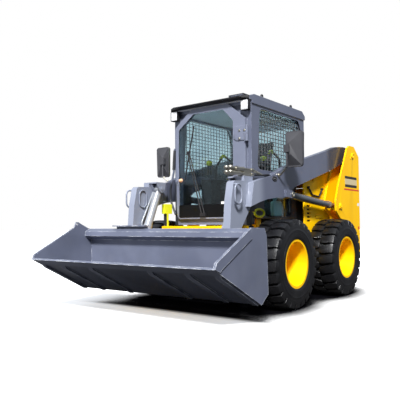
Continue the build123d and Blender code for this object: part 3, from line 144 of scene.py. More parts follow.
def stepped(tree, value, low, high):
    """A smooth step from 0 at low to 1 at high."""
    node = add_node(tree, "MapRange", {"Value": value, "From Min": low, "From Max": high},
                    interpolation_type="SMOOTHSTEP")
    return node.outputs["Result"]


def maths(tree, operation, first, second):
    """One operation on two values, with its result kept between 0 and 1."""
    node = add_node(tree, "Math", {0: first, 1: second}, operation=operation,
                    use_clamp=True)
    return node.outputs["Value"]


def own_place(tree):
    """The piece's own coordinates, which go with it when it moves."""
    return add_node(tree, "TexCoord").outputs["Object"]


def split(tree, vector):
    """The X, Y and Z of a vector."""
    return add_node(tree, "SeparateXYZ", {"Vector": vector}).outputs


def noise(tree, scale, detail, roughness=0.5):
    """A cloud of values that is fixed to the piece."""
    node = add_node(tree, "TexNoise", {
        "Vector": own_place(tree), "Scale": scale, "Detail": detail, "Roughness": roughness})
    return node.outputs["Fac"]


# %% [markdown]
# ## Effects shared by several finishes
# Three things happen to nearly every surface of a working machine. Sprayed paint
# and moulded parts carry a fine **grain**; corners lose their gloss and show a
# paler line, which is **edge wear**; and **dust** settles low down and on what
# faces the sky. Each becomes a node group that gives out only masks and heights,
# so any material can use it in its own measure.


# %% Grain group
def new_group(name, inputs, outputs):
    """A shader node group with named number sockets."""
    group = bpy.data.node_groups.new(name, "ShaderNodeTree")
    for label, value in inputs.items():
        socket = group.interface.new_socket(name=label, in_out="INPUT",
                                            socket_type="NodeSocketFloat")
        socket.default_value = value
    for label in outputs:
        group.interface.new_socket(name=label, in_out="OUTPUT", socket_type="NodeSocketFloat")
    return (group, group.nodes.new("NodeGroupInput").outputs,
            group.nodes.new("NodeGroupOutput").inputs)


grain, grain_in, grain_out = new_group("grain", {"Scale": 60.0, "Depth": 0.5},
                                       ("Height", "Patch"))
fine = noise(grain, grain_in["Scale"], 4.0)
grain.links.new(maths(grain, "MULTIPLY", fine, grain_in["Depth"]), grain_out["Height"])
grain.links.new(stepped(grain, noise(grain, 2.3, 3.0), 0.32, 0.68), grain_out["Patch"])

# %% Edge wear group
edge_wear, edge_in, edge_out = new_group("edge_wear", {"Width": 0.006, "Breaks": 30.0}, ("Edge",))
plain_normal = add_node(edge_wear, "NewGeometry")
round_normal = add_node(edge_wear, "Bevel", {"Radius": edge_in["Width"]}, samples=4)
same_way = add_node(edge_wear, "VectorMath", {
    0: plain_normal.outputs["Normal"], 1: round_normal.outputs["Normal"]},
    operation="DOT_PRODUCT")
turned_edge = stepped(edge_wear, same_way.outputs["Value"], 0.995, 0.90)
kept_breaks = stepped(edge_wear, noise(edge_wear, edge_in["Breaks"], 5.0), 0.36, 0.62)
edge_wear.links.new(maths(edge_wear, "MULTIPLY", turned_edge, kept_breaks), edge_out["Edge"])

# %% Dust group
dust, dust_in, dust_out = new_group("dust", {"Low": 0.1, "High": 0.9, "Amount": 0.5}, ("Mask",))
low_down = add_node(dust, "MapRange", {
    "Value": split(dust, own_place(dust))["Z"], "From Min": dust_in["High"],
    "From Max": dust_in["Low"]})
facing = split(dust, add_node(dust, "NewGeometry").outputs["Normal"])
on_top = maths(dust, "MULTIPLY", stepped(dust, facing["Z"], 0.3, 1.0), 0.35)
settled = maths(dust, "MAXIMUM", low_down.outputs["Result"], on_top)
cloud = stepped(dust, noise(dust, 7.0, 6.0, 0.65), 0.35, 0.75)
dust_mask = maths(dust, "MULTIPLY", maths(dust, "MULTIPLY", settled, cloud), dust_in["Amount"])
dust.links.new(dust_mask, dust_out["Mask"])
print("shared effects:", [group.name for group in bpy.data.node_groups])


# %% Start a material
def start_material(name, roughness=0.4, **constants):
    """A material with its own shader; constants are set on the shader's own sockets."""
    material = bpy.data.materials.new(name)
    material.use_nodes = True
    tree = material.node_tree
    shader = tree.nodes["Principled BSDF"]
    shader.inputs["Roughness"].default_value = roughness
    for key, value in constants.items():
        shader.inputs[key.replace("_", " ")].default_value = value
    return material, tree, shader


def placed(tree, group, **values):
    """The shared effect in this material, with this material's own values."""
    node = tree.nodes.new("ShaderNodeGroup")
    node.node_tree = group
    for key, value in values.items():
        node.inputs[key].default_value = value
    return node.outputs


def mottled(tree, patch, colour, shade):
    """Two close colours, given from 0 to 255, in soft patches."""
    return blend_colours(tree, patch, ink(*colour), ink(*shade))


def feed(tree, shader, colour, height, distance):
    """Gives the shader its colour, and a height in metres as its bumps."""
    tree.links.new(colour, shader.inputs["Base Color"])
    bump = add_node(tree, "Bump", {"Height": height, "Distance": distance})
    tree.links.new(bump.outputs["Normal"], shader.inputs["Normal"])


def rough_between(tree, shader, mask, low, high):
    """Roughness that follows a mask."""
    rough = add_node(tree, "MapRange", {"Value": mask, "To Min": low, "To Max": high})
    tree.links.new(rough.outputs["Result"], shader.inputs["Roughness"])


# %% [markdown]
# ## Sprayed paint
# The chassis is chrome yellow and the arms, bucket and cab are slate grey with a
# violet cast. Both are the same kind of finish: a pigment coat under a clear one,
# a little orange peel, paler worn corners and dust near the ground. On the bucket
# that pale corner line is partly a painted highlight. One function can make both,
# since only the colours and the amounts differ. Where a panel gets painted light or
# shade along one axis, it gets a zone: painted shade at the arms' rear end, below
# the arms on the cab sides and under the visor, painted light on the front legs.


# %% Paint
def paint(name, colour, shade, worn=(190, 196, 212), dusty=(112, 113, 118), roughness=0.34,
          wear=0.7, dust_amount=0.25, coat=0.25, gloss=0.45, worn_width=0.004, light_and_shade_zones=()):
    """Sprayed paint. A zone is an axis, its start and end in metres, a strength and a colour, laid
    on as painted light or shade.
    """
    material, tree, shader = start_material(name, roughness, Coat_Weight=coat,
                                            Coat_Roughness=0.12, Specular_IOR_Level=gloss)
    peel = placed(tree, grain, Scale=55.0, Depth=0.6)
    edges = placed(tree, edge_wear, Width=worn_width, Breaks=0.09 / worn_width)
    dirt = placed(tree, dust, Low=0.05, High=0.95, Amount=dust_amount)
    base = mottled(tree, peel["Patch"], colour, shade)
    edged = blend_colours(tree, maths(tree, "MULTIPLY", edges["Edge"], wear), base, ink(*worn))
    coloured = blend_colours(tree, dirt["Mask"], edged, ink(*dusty))
    for axis, start, end, strength, tone in light_and_shade_zones:
        inside = stepped(tree, split(tree, own_place(tree))[axis], start, end)
        coloured = blend_colours(tree, maths(tree, "MULTIPLY", inside, strength), coloured,
                                 ink(*tone))
    feed(tree, shader, coloured, peel["Height"], 0.0004)
    rough_between(tree, shader, dirt["Mask"], roughness, 0.85)
    return material


SLATE, SLATE_SHADE = (100, 105, 123), (91, 96, 113)
# Painted light: the cab front and the door use a paler copy of the slate, standing in for the
# light on their front faces.
FRONT_LIT_SLATE, FRONT_LIT_SLATE_TONE = (114, 119, 137), (105, 110, 127)
yellow_paint = paint("yellow_paint", (250, 196, 8), (246, 188, 6), (255, 226, 80), (150, 120, 60),
                     0.30, wear=0.5, dust_amount=0.10, coat=0.03, gloss=0.10)
slate_paint = paint("slate_paint", SLATE, SLATE_SHADE)
# The bucket's corner line is near-white and twice as wide as elsewhere: partly wear, partly a
# painted highlight along its edges.
bucket_paint = paint("bucket_paint", SLATE, (88, 93, 110), (226, 229, 234), (104, 105, 110),
                     wear=0.95, worn_width=0.008)
# Painted shade darkens the arms' rear end towards the towers; painted light makes the front legs
# paler.
arm_paint = paint("arm_paint", (94, 99, 117), (84, 89, 106),
                  light_and_shade_zones=(("Y", 0.86, 1.0, 0.86, (44, 40, 46)),
                         ("Y", -0.44, -0.60, 0.6, (152, 158, 174))))
# Painted shade: the cab sides are darker below about 1.2 m, under the arms.
cab_side_paint = paint("cab_side_paint", SLATE, SLATE_SHADE,
                       light_and_shade_zones=(("Z", 1.24, 1.19, 0.9, (26, 29, 32)),))
# Painted shadow of the visor: a darker strip along the top of the cab front.
cab_front_paint = paint("cab_front_paint", FRONT_LIT_SLATE, FRONT_LIT_SLATE_TONE,
                        light_and_shade_zones=(("Z", 1.86, 1.90, 0.7, (34, 39, 52)),))
door_paint = paint("door_paint", FRONT_LIT_SLATE, FRONT_LIT_SLATE_TONE)
tilt_paint = paint("tilt_paint", (150, 154, 160), (140, 144, 150), (205, 208, 214),
                   (120, 120, 120), 0.24, wear=0.5, dust_amount=0.2)
cylinder_paint = paint("cylinder_paint", (84, 88, 94), (76, 80, 86), (190, 194, 200),
                       (110, 108, 106), 0.24, wear=0.5)
print("paints:", len(bpy.data.materials))

# %% [markdown]
# ## Rubber, plastic and steel
# Tyre rubber is nearly black, with a dull bloom and road dust held in the tread.
# Moulded plastic is a satin black. Rods are hard chrome, fittings are zinc plated
# and go cloudy, and the guards are black steel.

# %% Rubber
ROAD_DUST = (52, 51, 52)
tyre_rubber, tree, shader = start_material("tyre_rubber", 0.40, Specular_IOR_Level=0.4)
skin = placed(tree, grain, Scale=95.0, Depth=1.0)
road = placed(tree, dust, Low=-0.2, High=1.2, Amount=0.3)
rubber = mottled(tree, skin["Patch"], (11, 11, 13), (17, 17, 20))
feed(tree, shader, blend_colours(tree, road["Mask"], rubber, ink(*ROAD_DUST)),
     skin["Height"], 0.0012)


# %% Black plastic and vinyl
def moulded(name, colour, patch, roughness, scale, depth, gloss=0.5):
    """Plastic, vinyl or rubber as it leaves a mould, with a fine grain."""
    material, tree, shader = start_material(name, roughness, Specular_IOR_Level=gloss)
    skin = placed(tree, grain, Scale=scale, Depth=1.0)
    feed(tree, shader, mottled(tree, skin["Patch"], colour, patch), skin["Height"], depth)
    return material


black_plastic = moulded("black_plastic", (30, 30, 33), (40, 40, 43), 0.42, 240.0, 0.0003, 0.3)
seat_vinyl = moulded("seat_vinyl", (32, 33, 36), (42, 43, 46), 0.5, 330.0, 0.0006)
# The lining is paler than real trim, as painted light for the cab's inside, which the glass keeps
# from the sun.
pale_lining_with_painted_light = moulded("pale_lining_with_painted_light", (236, 240, 244), (228, 232, 238), 0.8, 200.0, 0.0006)
mirror_shell = moulded("mirror_shell", (56, 56, 60), (68, 68, 72), 0.46, 240.0, 0.0003)
# Black of the kick plate, also used as painted shade over the foot of the door pane.
kick_and_shade_rubber = moulded("kick_and_shade_rubber", (12, 13, 15), (16, 17, 19), 0.7, 300.0, 0.0003, 0.1)
hose_rubber = moulded("hose_rubber", (20, 20, 22), (30, 30, 31), 0.5, 300.0, 0.0003)


# %% Bare and coated steel
def metal(name, colour, patch, roughness, metallic=1.0, scale=180.0, wear=0.0):
    """Steel, chrome or zinc, with bare edges where it is worn."""
    material, tree, shader = start_material(name, roughness, Metallic=metallic)
    skin = placed(tree, grain, Scale=scale, Depth=1.0)
    tint = mottled(tree, skin["Patch"], colour, patch)
    if wear:
        edges = placed(tree, edge_wear, Width=0.003, Breaks=40.0)
        tint = blend_colours(tree, maths(tree, "MULTIPLY", edges["Edge"], wear), tint,
                             ink(180, 180, 182))
    feed(tree, shader, tint, skin["Height"], 0.0001)
    rough_between(tree, shader, skin["Patch"], roughness, roughness + 0.12)
    return material


chromed_rod = metal("chromed_rod", (176, 180, 186), (164, 168, 174), 0.16)
mirror_glass = metal("mirror_glass", (205, 212, 216), (200, 208, 212), 0.02)
zinc_fitting = metal("zinc_fitting", (196, 192, 180), (172, 168, 156), 0.34, scale=90.0)
dark_steel = metal("dark_steel", (34, 35, 38), (46, 47, 50), 0.45, metallic=0.0, wear=0.5)
engine_iron = metal("engine_iron", (24, 26, 28), (36, 38, 40), 0.55, metallic=0.3, wear=0.4)

# %% [markdown]
# ## Glass and lamps
# Cab glass is toughened and tinted green-blue. A plain transmission with a tinted
# colour is enough, because the panes are real solids with two faces. A thin bloom
# of dust, as a mask on the roughness, keeps it from looking like an empty hole.

# %% Glass
tinted_glass, tree, shader = start_material("tinted_glass", 0.02, Transmission_Weight=1.0,
                                            IOR=1.45)
bloom = placed(tree, grain, Scale=14.0, Depth=1.0)
tree.links.new(mottled(tree, bloom["Patch"], (196, 218, 226), (210, 228, 233)),
               shader.inputs["Base Color"])
tree.links.new(stepped(tree, bloom["Height"], 0.2, 3.0), shader.inputs["Roughness"])

# %% Lamp lens
lamp_lens, tree, shader = start_material("lamp_lens", 0.08, Transmission_Weight=0.35,
                                         Emission_Strength=0.10)
flutes = add_node(tree, "TexWave", {"Vector": own_place(tree), "Scale": 40.0},
                  bands_direction="X").outputs["Fac"]
feed(tree, shader, mottled(tree, flutes, (236, 238, 240), (250, 250, 250)), flutes, 0.002)
tree.links.new(mottled(tree, flutes, (225, 228, 232), (255, 255, 255)),
               shader.inputs["Emission Color"])
print("materials:", len(bpy.data.materials))


# %% [markdown]
# ## Turning a bmesh into a finished piece
# Each new piece ends the same way: its mesh is stored, shaded smooth with sharp
# corners kept, given a finish, and hung on the body that carries it.


# %% Finish a piece
def finish_piece(name, bm, body, material, replaces=(), sharp=32):
    """A piece of this mesh on its body, with one finish."""
    mesh = bpy.data.meshes.new(name)
    bm.to_mesh(mesh)
    bm.free()
    mesh.materials.append(material)
    mesh.polygons.foreach_set("use_smooth", [True] * len(mesh.polygons))
    mesh.set_sharp_from_angle(angle=math.radians(sharp))
    obj = into_scene(name, mesh)
    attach(obj, body)
    for node in replaces:
        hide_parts(node)
    return obj


# %% [markdown]
# ## Softened plate edges
# Flame-cut and folded plate never has a knife edge: the paint itself rounds it by
# a millimetre or two, and that thin round catches the light all along the arms
# and the cab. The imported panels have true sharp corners, so each gets a twin:
# its triangles are merged, flat ones dissolved, and a Bevel modifier that looks
# only at real corners rounds them.


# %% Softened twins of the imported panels
MERGED_WITHIN = 0.00002               # metres
FLAT_WITHIN = math.radians(0.4)


def merged_copy(node):
    """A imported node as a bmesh, its triangles merged and its flat ones dissolved."""
    bm = bmesh.new()
    bm.from_mesh(nodes[node].data)
    bmesh.ops.remove_doubles(bm, verts=bm.verts, dist=MERGED_WITHIN)
    bmesh.ops.dissolve_limit(bm, angle_limit=FLAT_WITHIN, use_dissolve_boundaries=False,
                             verts=bm.verts, edges=bm.edges)
    return bm


def softened(node, material, radius):
    """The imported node's twin, with its corners rounded by a radius."""
    obj = finish_piece(node + "_panel", merged_copy(node), body_of_node[node], material,
                       [node])
    corners = obj.modifiers.new("rounded corners", "BEVEL")
    corners.width = radius
    corners.segments = 2
    corners.limit_method = "ANGLE"
    corners.angle_limit = math.radians(42)
    corners.harden_normals = True
    corners.use_clamp_overlap = True
    return obj


def repaint(node, material, test):
    """Another finish for the faces of a twin whose middle and direction pass a test."""
    mesh = twins[node].data
    mesh.materials.append(material)
    for polygon in mesh.polygons:
        if test(polygon.center, polygon.normal):
            polygon.material_index = len(mesh.materials) - 1


PANELS = [
    # nodes, finish, slot where it isn't named as the finish, corner radius
    ("main_frame front_step counterweight hood rear_door engine_sides", yellow_paint, None, 0.003),
    ("tower_left tower_right", yellow_paint, None, 0.0025),
    ("arm_left arm_right", arm_paint, "slate_paint", 0.0025),
    ("coupler", slate_paint, None, 0.0025),
    ("bucket", bucket_paint, "slate_paint", 0.0025),
    ("cab_side_left cab_side_right", cab_side_paint, "slate_paint", 0.003),
    ("cab_front", cab_front_paint, "slate_paint", 0.003),
    ("cab_rear cab_roof", slate_paint, None, 0.003),
    ("door_frame", door_paint, "slate_paint", 0.003),
    ("visor seat_base consoles", black_plastic, None, 0.0025),
    ("mirrors", mirror_shell, "black_plastic", 0.0025),
    ("cab_floor", dark_steel, None, 0.002),
]
twins = {node_name: softened(node_name, finish, corner_radius)
         for names, finish, slot_name, corner_radius in PANELS for node_name in names.split()}
print("softened panels:", len(twins))

# %% Second finishes on some panels
roof_skin = max(polygon.center.z for polygon in twins["cab_roof"].data.polygons
                if polygon.normal.z > 0.9 and polygon.area > 0.2)
ARM_GRIP = (-0.66, -0.548)            # where the black grips cross the arms
STEP_TREAD = (0.762, 0.84)            # heights of the step's black tread
repaint("cab_roof", dark_steel, lambda middle, facing: middle.z > roof_skin + 0.001)
# The roof's underside and the rear wall's inner face get the lining, whose paleness is partly
# painted light.
repaint("cab_roof", pale_lining_with_painted_light, lambda middle, facing: facing.z < -0.9 and abs(middle.x) < 0.3)
repaint("cab_rear", pale_lining_with_painted_light, lambda middle, facing: facing.y < -0.9)
repaint("mirrors", zinc_fitting, lambda middle, facing: middle.z < 1.29 or abs(middle.x) < 0.74)
repaint("front_step", dark_steel,
        lambda middle, facing: STEP_TREAD[0] < middle.z < STEP_TREAD[1])
for arm in ("arm_left", "arm_right"):
    repaint(arm, dark_steel, lambda middle, facing: abs(middle.x) > 0.612
            and ARM_GRIP[0] < middle.y < ARM_GRIP[1])
print("panels with a second finish:",
      sum(len(twin.data.materials) > 1 for twin in twins.values()))

# %% [markdown]
# ## Packed forms that need only a finish
# Cylinders, rims, glass, the wiper and the hoses are round or thin, so their packed
# form is already right. Each gets its finish in place of the plain one.

# %% Finishes for the nodes that stay as they are
KEPT_FINISH = [
    (slate_paint, "cross_tube"),
    (cylinder_paint, "lift_barrel_left lift_barrel_right"),
    (tilt_paint, "tilt_barrel_left tilt_barrel_right"),
    (chromed_rod, "lift_rod_left lift_rod_right tilt_rod_left tilt_rod_right"),
    (yellow_paint, "rim_front_left rim_front_right rim_rear_left rim_rear_right"),
    (tinted_glass, "cab_glass door_glass"), (engine_iron, "engine_block"),
    (black_plastic, "wiper"), (zinc_fitting, "aux_couplers"), (hose_rubber, "side_hoses")]
for finish, names in KEPT_FINISH:
    for node_name in names.split():
        nodes[node_name].data.materials[0] = finish
print("finishes given:", sum(len(names.split()) for finish, names in KEPT_FINISH))

# %% [markdown]
# ## Tyres
# A loader tyre is a wide carcass with a deep, open tread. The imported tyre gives
# its size in flats; here the same tyre is spun from a curved section with the
# rings that a mould leaves on the wall. Fat bars then cross half the tread each,
# bend at the quarter and run out over the shoulder. Their corners follow the
# tyre's own circle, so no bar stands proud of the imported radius.

# %% Tyre carcass and bars
TYRE_RADIUS = (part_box("tyre_front_left")[1].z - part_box("tyre_front_left")[0].z) / 2
BARS_A_SIDE = 24
BAR_FOOT = 0.352                      # radius at which a bar starts, inside the carcass
WALL_SECTION = [  # half width and radius, from the bead outward to the crown
    (0.1307, 0.2125), (0.1307, 0.2335), (0.1410, 0.2335), (0.1435, 0.2240), (0.1492, 0.2350),
    (0.1500, 0.2430), (0.1512, 0.2440), (0.1518, 0.2600), (0.1506, 0.2612), (0.1514, 0.2740),
    (0.1500, 0.2752), (0.1500, 0.3000), (0.1512, 0.3015), (0.1512, 0.3070), (0.1500, 0.3085),
    (0.1494, 0.3300), (0.1480, 0.3480), (0.1410, 0.3680), (0.1260, 0.3800), (0.0900, 0.3850),
    (0.0450, 0.3865), (0.0, 0.3870)]
BAR_OUTLINE = [(0.0015, 0.046), (0.0015, -0.014), (0.030, -0.026), (0.058, -0.038),
               (0.100, -0.043), (0.1475, -0.043), (0.1475, 0.043), (0.106, 0.043),
               (0.080, 0.045), (0.040, 0.057)]  # across the tyre and along its tread


def outward(bm):
    """Turns all faces of closed shells outwards."""
    bmesh.ops.recalc_face_normals(bm, faces=bm.faces)


def rounded(bm, edges, radius, segments=2):
    """Rounds some edges of a bmesh."""
    bmesh.ops.bevel(bm, geom=edges, offset=radius, offset_type="OFFSET", segments=segments,
                    profile=0.5, affect="EDGES", material=-1, clamp_overlap=True)


def tread_bar(bm, side, angle):
    """One bent bar, a tapered prism between two circles of the tyre, and its upper corners."""
    rings = []
    for radius, spread in ((BAR_FOOT, 1.0), (TYRE_RADIUS - 0.0004, 0.9)):
        ring = []
        for x, along in BAR_OUTLINE:
            middle = 0.012 - 0.10 * max(0.0, x - 0.06)
            drawn = middle + (along - middle) * spread
            top = radius - (0.012 * max(0.0, (x - 0.10) / 0.0475) ** 2 if spread < 1 else 0)
            reach = x - (0.004 if spread < 1 and x > 0.14 else 0)
            turn = angle + drawn / TYRE_RADIUS    # from the ground
            ring.append(bm.verts.new((side * reach, math.sin(turn) * top,
                                      -math.cos(turn) * top)))
        rings.append(ring)
    low, high = rings
    count = len(low)
    walls = [bm.faces.new((low[i], low[(i + 1) % count], high[(i + 1) % count], high[i]))
             for i in range(count)]
    return list(bm.faces.new(high).edges) + [wall.edges[1] for wall in walls]


def added(bm, part):
    """Adds one bmesh to another and frees it."""
    mesh = bpy.data.meshes.new("part")
    part.to_mesh(mesh)
    part.free()
    bm.from_mesh(mesh)
    bpy.data.meshes.remove(mesh)


def make_tyre(node):
    """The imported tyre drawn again: a spun carcass with a bar over each half of every pitch."""
    low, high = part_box(node)
    bm = bmesh.new()
    outer = [bm.verts.new((x, 0, -radius)) for x, radius in WALL_SECTION]
    inner = [bm.verts.new((-x, 0, -radius)) for x, radius in WALL_SECTION[-2::-1]]
    ring = outer + inner
    section = [bm.edges.new(pair) for pair in zip(ring, ring[1:] + ring[:1])]
    bmesh.ops.spin(bm, geom=ring + section, cent=(0, 0, 0), axis=(1, 0, 0),
                   angle=2 * math.pi, steps=96, use_merge=True)
    bars = bmesh.new()
    corners = []
    pitch = 2 * math.pi / BARS_A_SIDE
    for step in range(BARS_A_SIDE):
        corners += tread_bar(bars, 1, pitch * step)
        corners += tread_bar(bars, -1, pitch * (step + 0.5))
    rounded(bars, list(set(corners)), 0.0035)
    added(bm, bars)
    outward(bm)
    bmesh.ops.translate(bm, verts=bm.verts, vec=(low + high) / 2)
    return finish_piece(node + "_tread", bm, body_of_node[node], tyre_rubber, replaces=[node],
                        sharp=38)


TYRES = [make_tyre(name) for name in nodes if name.startswith("tyre_")]
print("tyres:", len(TYRES), "of", len(TYRES[0].data.polygons), "faces")

# %% [markdown]
# ## The operator's seat
# A seat pad is foam in a sewn cover, so each begins as a plain closed form a
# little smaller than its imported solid, is blown up softly as cloth, and only then
# gets its seams: two sewn channels across the cushion and three across the back.


# %% Seat pads
STUFFING_STEPS = 20
PRESSURE, FURTHEST = 4.0, 0.014       # of the stuffing, and how far it may push a point
SEAM_WIDTH, SEAM_DEPTH = 0.009, 0.007


def applied(obj):
    """The mesh that a piece's modifiers give; the modifiers are then taken off."""
    depsgraph = bpy.context.evaluated_depsgraph_get()
    made = bpy.data.meshes.new_from_object(obj.evaluated_get(depsgraph), depsgraph=depsgraph)
    obj.modifiers.clear()
    return made


def blown_up(obj):
    """Swells a closed pad as cloth."""
    remesh = obj.modifiers.new("even mesh", "REMESH")
    remesh.mode = "VOXEL"
    remesh.voxel_size = 0.006
    obj.data = applied(obj)
    before = [vert.co.copy() for vert in obj.data.vertices]
    cloth = obj.modifiers.new("stuffing", "CLOTH")
    cloth.settings.use_pressure = True
    cloth.settings.uniform_pressure_force = PRESSURE
    cloth.settings.effector_weights.gravity = 0.0
    for step in range(STUFFING_STEPS):
        bpy.context.scene.frame_set(step + 1)
    swollen = applied(obj)
    bpy.context.scene.frame_set(1)
    for vert, start in zip(swollen.vertices, before):
        shift = vert.co - start
        if shift.length > FURTHEST:
            vert.co = start + shift.normalized() * FURTHEST
    obj.data = swollen


def seat_pad(name, width, depth, height, place, lean, channels):
    """One pad: pulled-in form, blown up, then sewn across at the given places."""
    bm = bmesh.new()
    bmesh.ops.create_cube(bm, size=1.0)
    bmesh.ops.scale(bm, vec=(width, depth, height), verts=bm.verts)
    rounded(bm, bm.edges[:], min(width, depth, height) * 0.3, segments=3)
    bmesh.ops.triangulate(bm, faces=bm.faces)
    pad = finish_piece(name, bm, "cab", seat_vinyl, sharp=80)
    blown_up(pad)
    bm = bmesh.new()
    bm.from_mesh(pad.data)
    bmesh.ops.subdivide_edges(bm, edges=bm.edges, cuts=1, use_grid_fill=True, smooth=0.0)
    bmesh.ops.smooth_vert(bm, verts=bm.verts, factor=0.5, use_axis_x=True, use_axis_y=True,
                          use_axis_z=True)
    for vert in bm.verts:
        if vert.co.z > 0:
            for channel in channels:
                gap = abs(vert.co.y - channel) / SEAM_WIDTH
                vert.co.z -= SEAM_DEPTH * math.exp(-gap * gap) * min(1.0, vert.co.z / 0.02)
        vert.co.z = max(vert.co.z, -height / 2)
    turn = Matrix.Rotation(lean, 4, "X")
    bmesh.ops.transform(bm, matrix=Matrix.Translation(place) @ turn, verts=bm.verts)
    bm.to_mesh(pad.data)
    bm.free()
    pad.data.materials.clear()
    pad.data.materials.append(seat_vinyl)
    pad.data.polygons.foreach_set("use_smooth", [True] * len(pad.data.polygons))
    return pad


seat_low, seat_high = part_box("seat_pads")
seat_top = seat_low.z + 0.110
CUSHION_DEPTH = 0.440
BACK_RUN, BACK_RISE = 0.120, 0.468    # how far the back rest leans over its height
cushion = seat_pad(
    "seat_cushion", seat_high.x - seat_low.x - 0.030, CUSHION_DEPTH - 0.032, 0.092,
    Vector((0, seat_low.y + CUSHION_DEPTH / 2, seat_low.z + 0.053)), 0.0, (-0.07, 0.07))
back_rest = seat_pad(
    "seat_back", 0.405, 0.440, 0.066,
    Vector((0, seat_high.y - 0.104, (seat_top + seat_high.z) / 2 + 0.006)),
    math.pi / 2 - math.atan2(BACK_RUN, BACK_RISE), (-0.09, 0.02, 0.13))
for pad in (cushion, back_rest):
    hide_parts("seat_pads")
print("seat pads:", len(cushion.data.polygons), "and", len(back_rest.data.polygons), "faces")

# %% [markdown]
# ## Lamps and mirror glass
# Each work lamp is a moulded shell with a sunk face, a pinched back and a fluted
# lens in front. The mirrors look rearward, so their glass lies in the back of each
# shell. All of them are rounded plates, which one function draws: it turns the
# corners, extrudes the outline and leaves the thin edges to another that eases
# them.


# %% Rounded plates
def pushed_out(bm, faces, move):
    """Extrudes faces by a vector."""
    made = bmesh.ops.extrude_face_region(bm, geom=faces)
    moved = [item for item in made["geom"] if isinstance(item, bmesh.types.BMVert)]
    bmesh.ops.translate(bm, verts=moved, vec=move)


def inset(bm, face, width):
    """A narrower face inside a face, with a band of even width round it."""
    bmesh.ops.inset_individual(bm, faces=[face], thickness=width, use_even_offset=True)


def rounded_plate(bm, low, high, radius, depth, axis=1):
    """A rounded rectangle between two corners, drawn square to one axis."""
    across, up = [i for i in range(3) if i != axis]
    points = []
    for corner, (u, v) in enumerate(((1, 1), (0, 1), (0, 0), (1, 0))):
        centre_u = high[across] - radius if u else low[across] + radius
        centre_v = high[up] - radius if v else low[up] + radius
        for step in range(5):
            angle = math.pi / 2 * (corner + step / 4)
            point = [low[axis]] * 3
            point[across] = centre_u + math.cos(angle) * radius
            point[up] = centre_v + math.sin(angle) * radius
            points.append(bm.verts.new(point))
    push = Vector((0, 0, 0))
    push[axis] = depth
    pushed_out(bm, [bm.faces.new(points)], push)
    outward(bm)


def eased(bm, radius, sharper=1.0):
    """Rounds the corners of a plate, those sharper than an angle, by a small radius."""
    rounded(bm, [edge for edge in bm.edges if edge.calc_face_angle(0) > sharper], radius)


def built(name, body, material, slot, *steps):
    """A whole piece: each step is a shape function with its values."""
    bm = bmesh.new()
    for shape, *values in steps:
        shape(bm, *values)
    finish_piece(name, bm, body, material)


# %% Work lamps
SIDES = ((1, "left"), (-1, "right"))
LAMP_INNER = 0.390                    # from the middle of the cab
LAMP_DEPTH, LENS_DEPTH = 0.044, 0.006
LAMP_WALL = Vector((0.007, 0, 0.007))
lamp_low, lamp_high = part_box("work_lamps")
LAMP_OUTER = lamp_high.x + 0.022
for side, name in SIDES:
    inner, outer = sorted((side * LAMP_INNER, side * LAMP_OUTER))
    low = Vector((inner, lamp_low.y, lamp_low.z - 0.006))
    high = Vector((outer, lamp_low.y, lamp_high.z + 0.012))
    bm = bmesh.new()
    rounded_plate(bm, low, high, 0.010, LAMP_DEPTH)
    front = min(bm.faces, key=lambda face: face.calc_center_median().y)
    inset(bm, front, 0.006)
    pushed_out(bm, [front], (0, 0.008, 0))
    bmesh.ops.delete(bm, geom=[front], context="FACES_ONLY")
    back = max(bm.faces, key=lambda face: face.calc_center_median().y)
    inset(bm, back, 0.014)
    bmesh.ops.translate(bm, verts=back.verts[:], vec=(0, 0.016, 0))
    outward(bm)
    eased(bm, 0.0012)
    finish_piece("lamp_body_" + name, bm, "cab", black_plastic, replaces=["work_lamps"])
    sunk = Vector((0, 0.0012, 0))
    built("lamp_lens_" + name, "cab", lamp_lens, "lamp_shell", (
        rounded_plate, low + LAMP_WALL + sunk, high - LAMP_WALL + sunk, 0.006, LENS_DEPTH),
        (eased, 0.001))
print("lamps reach", round(LAMP_OUTER, 3), "m from the middle")

# %% Mirror glass
mirror_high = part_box("mirrors")[1]
GLASS_LOW, GLASS_HIGH, GLASS_INNER = 1.324, mirror_high.z - 0.016, 0.748
for side, name in SIDES:
    inner, outer = sorted((side * GLASS_INNER, side * (mirror_high.x - 0.024)))
    behind = mirror_high.y - 0.0006
    built("mirror_glass_" + name, "lift_arms", mirror_glass, "chromed_rod", (
        rounded_plate, (inner, behind, GLASS_LOW), (outer, behind, GLASS_HIGH), 0.022, 0.0016),
        (eased, 0.0006))
print("mirror glass", round(GLASS_HIGH - GLASS_LOW, 3), "m high")

# %% [markdown]
# ## Shapes for small fittings
# Most fittings are turned or bent from round stock, so two builders make nearly
# all of them: one spins a profile round an axis, the other runs a round section
# along a bent path. A third finds where a straight line first meets a packed
# node, so that a bolt or a sign sits on the real surface. Spun pieces are built in a
# bmesh of their own and then added, so their doubles can be merged alone.

# %% Turned and bent shapes
AXLE = joint_at["front_left_wheel_roll"]
FORWARD = (0, -1, 0)


def place(x, y, z):
    """A point given across from the middle, back from the front axle, and up, in metres."""
    return Vector((x, AXLE.y + y, z))


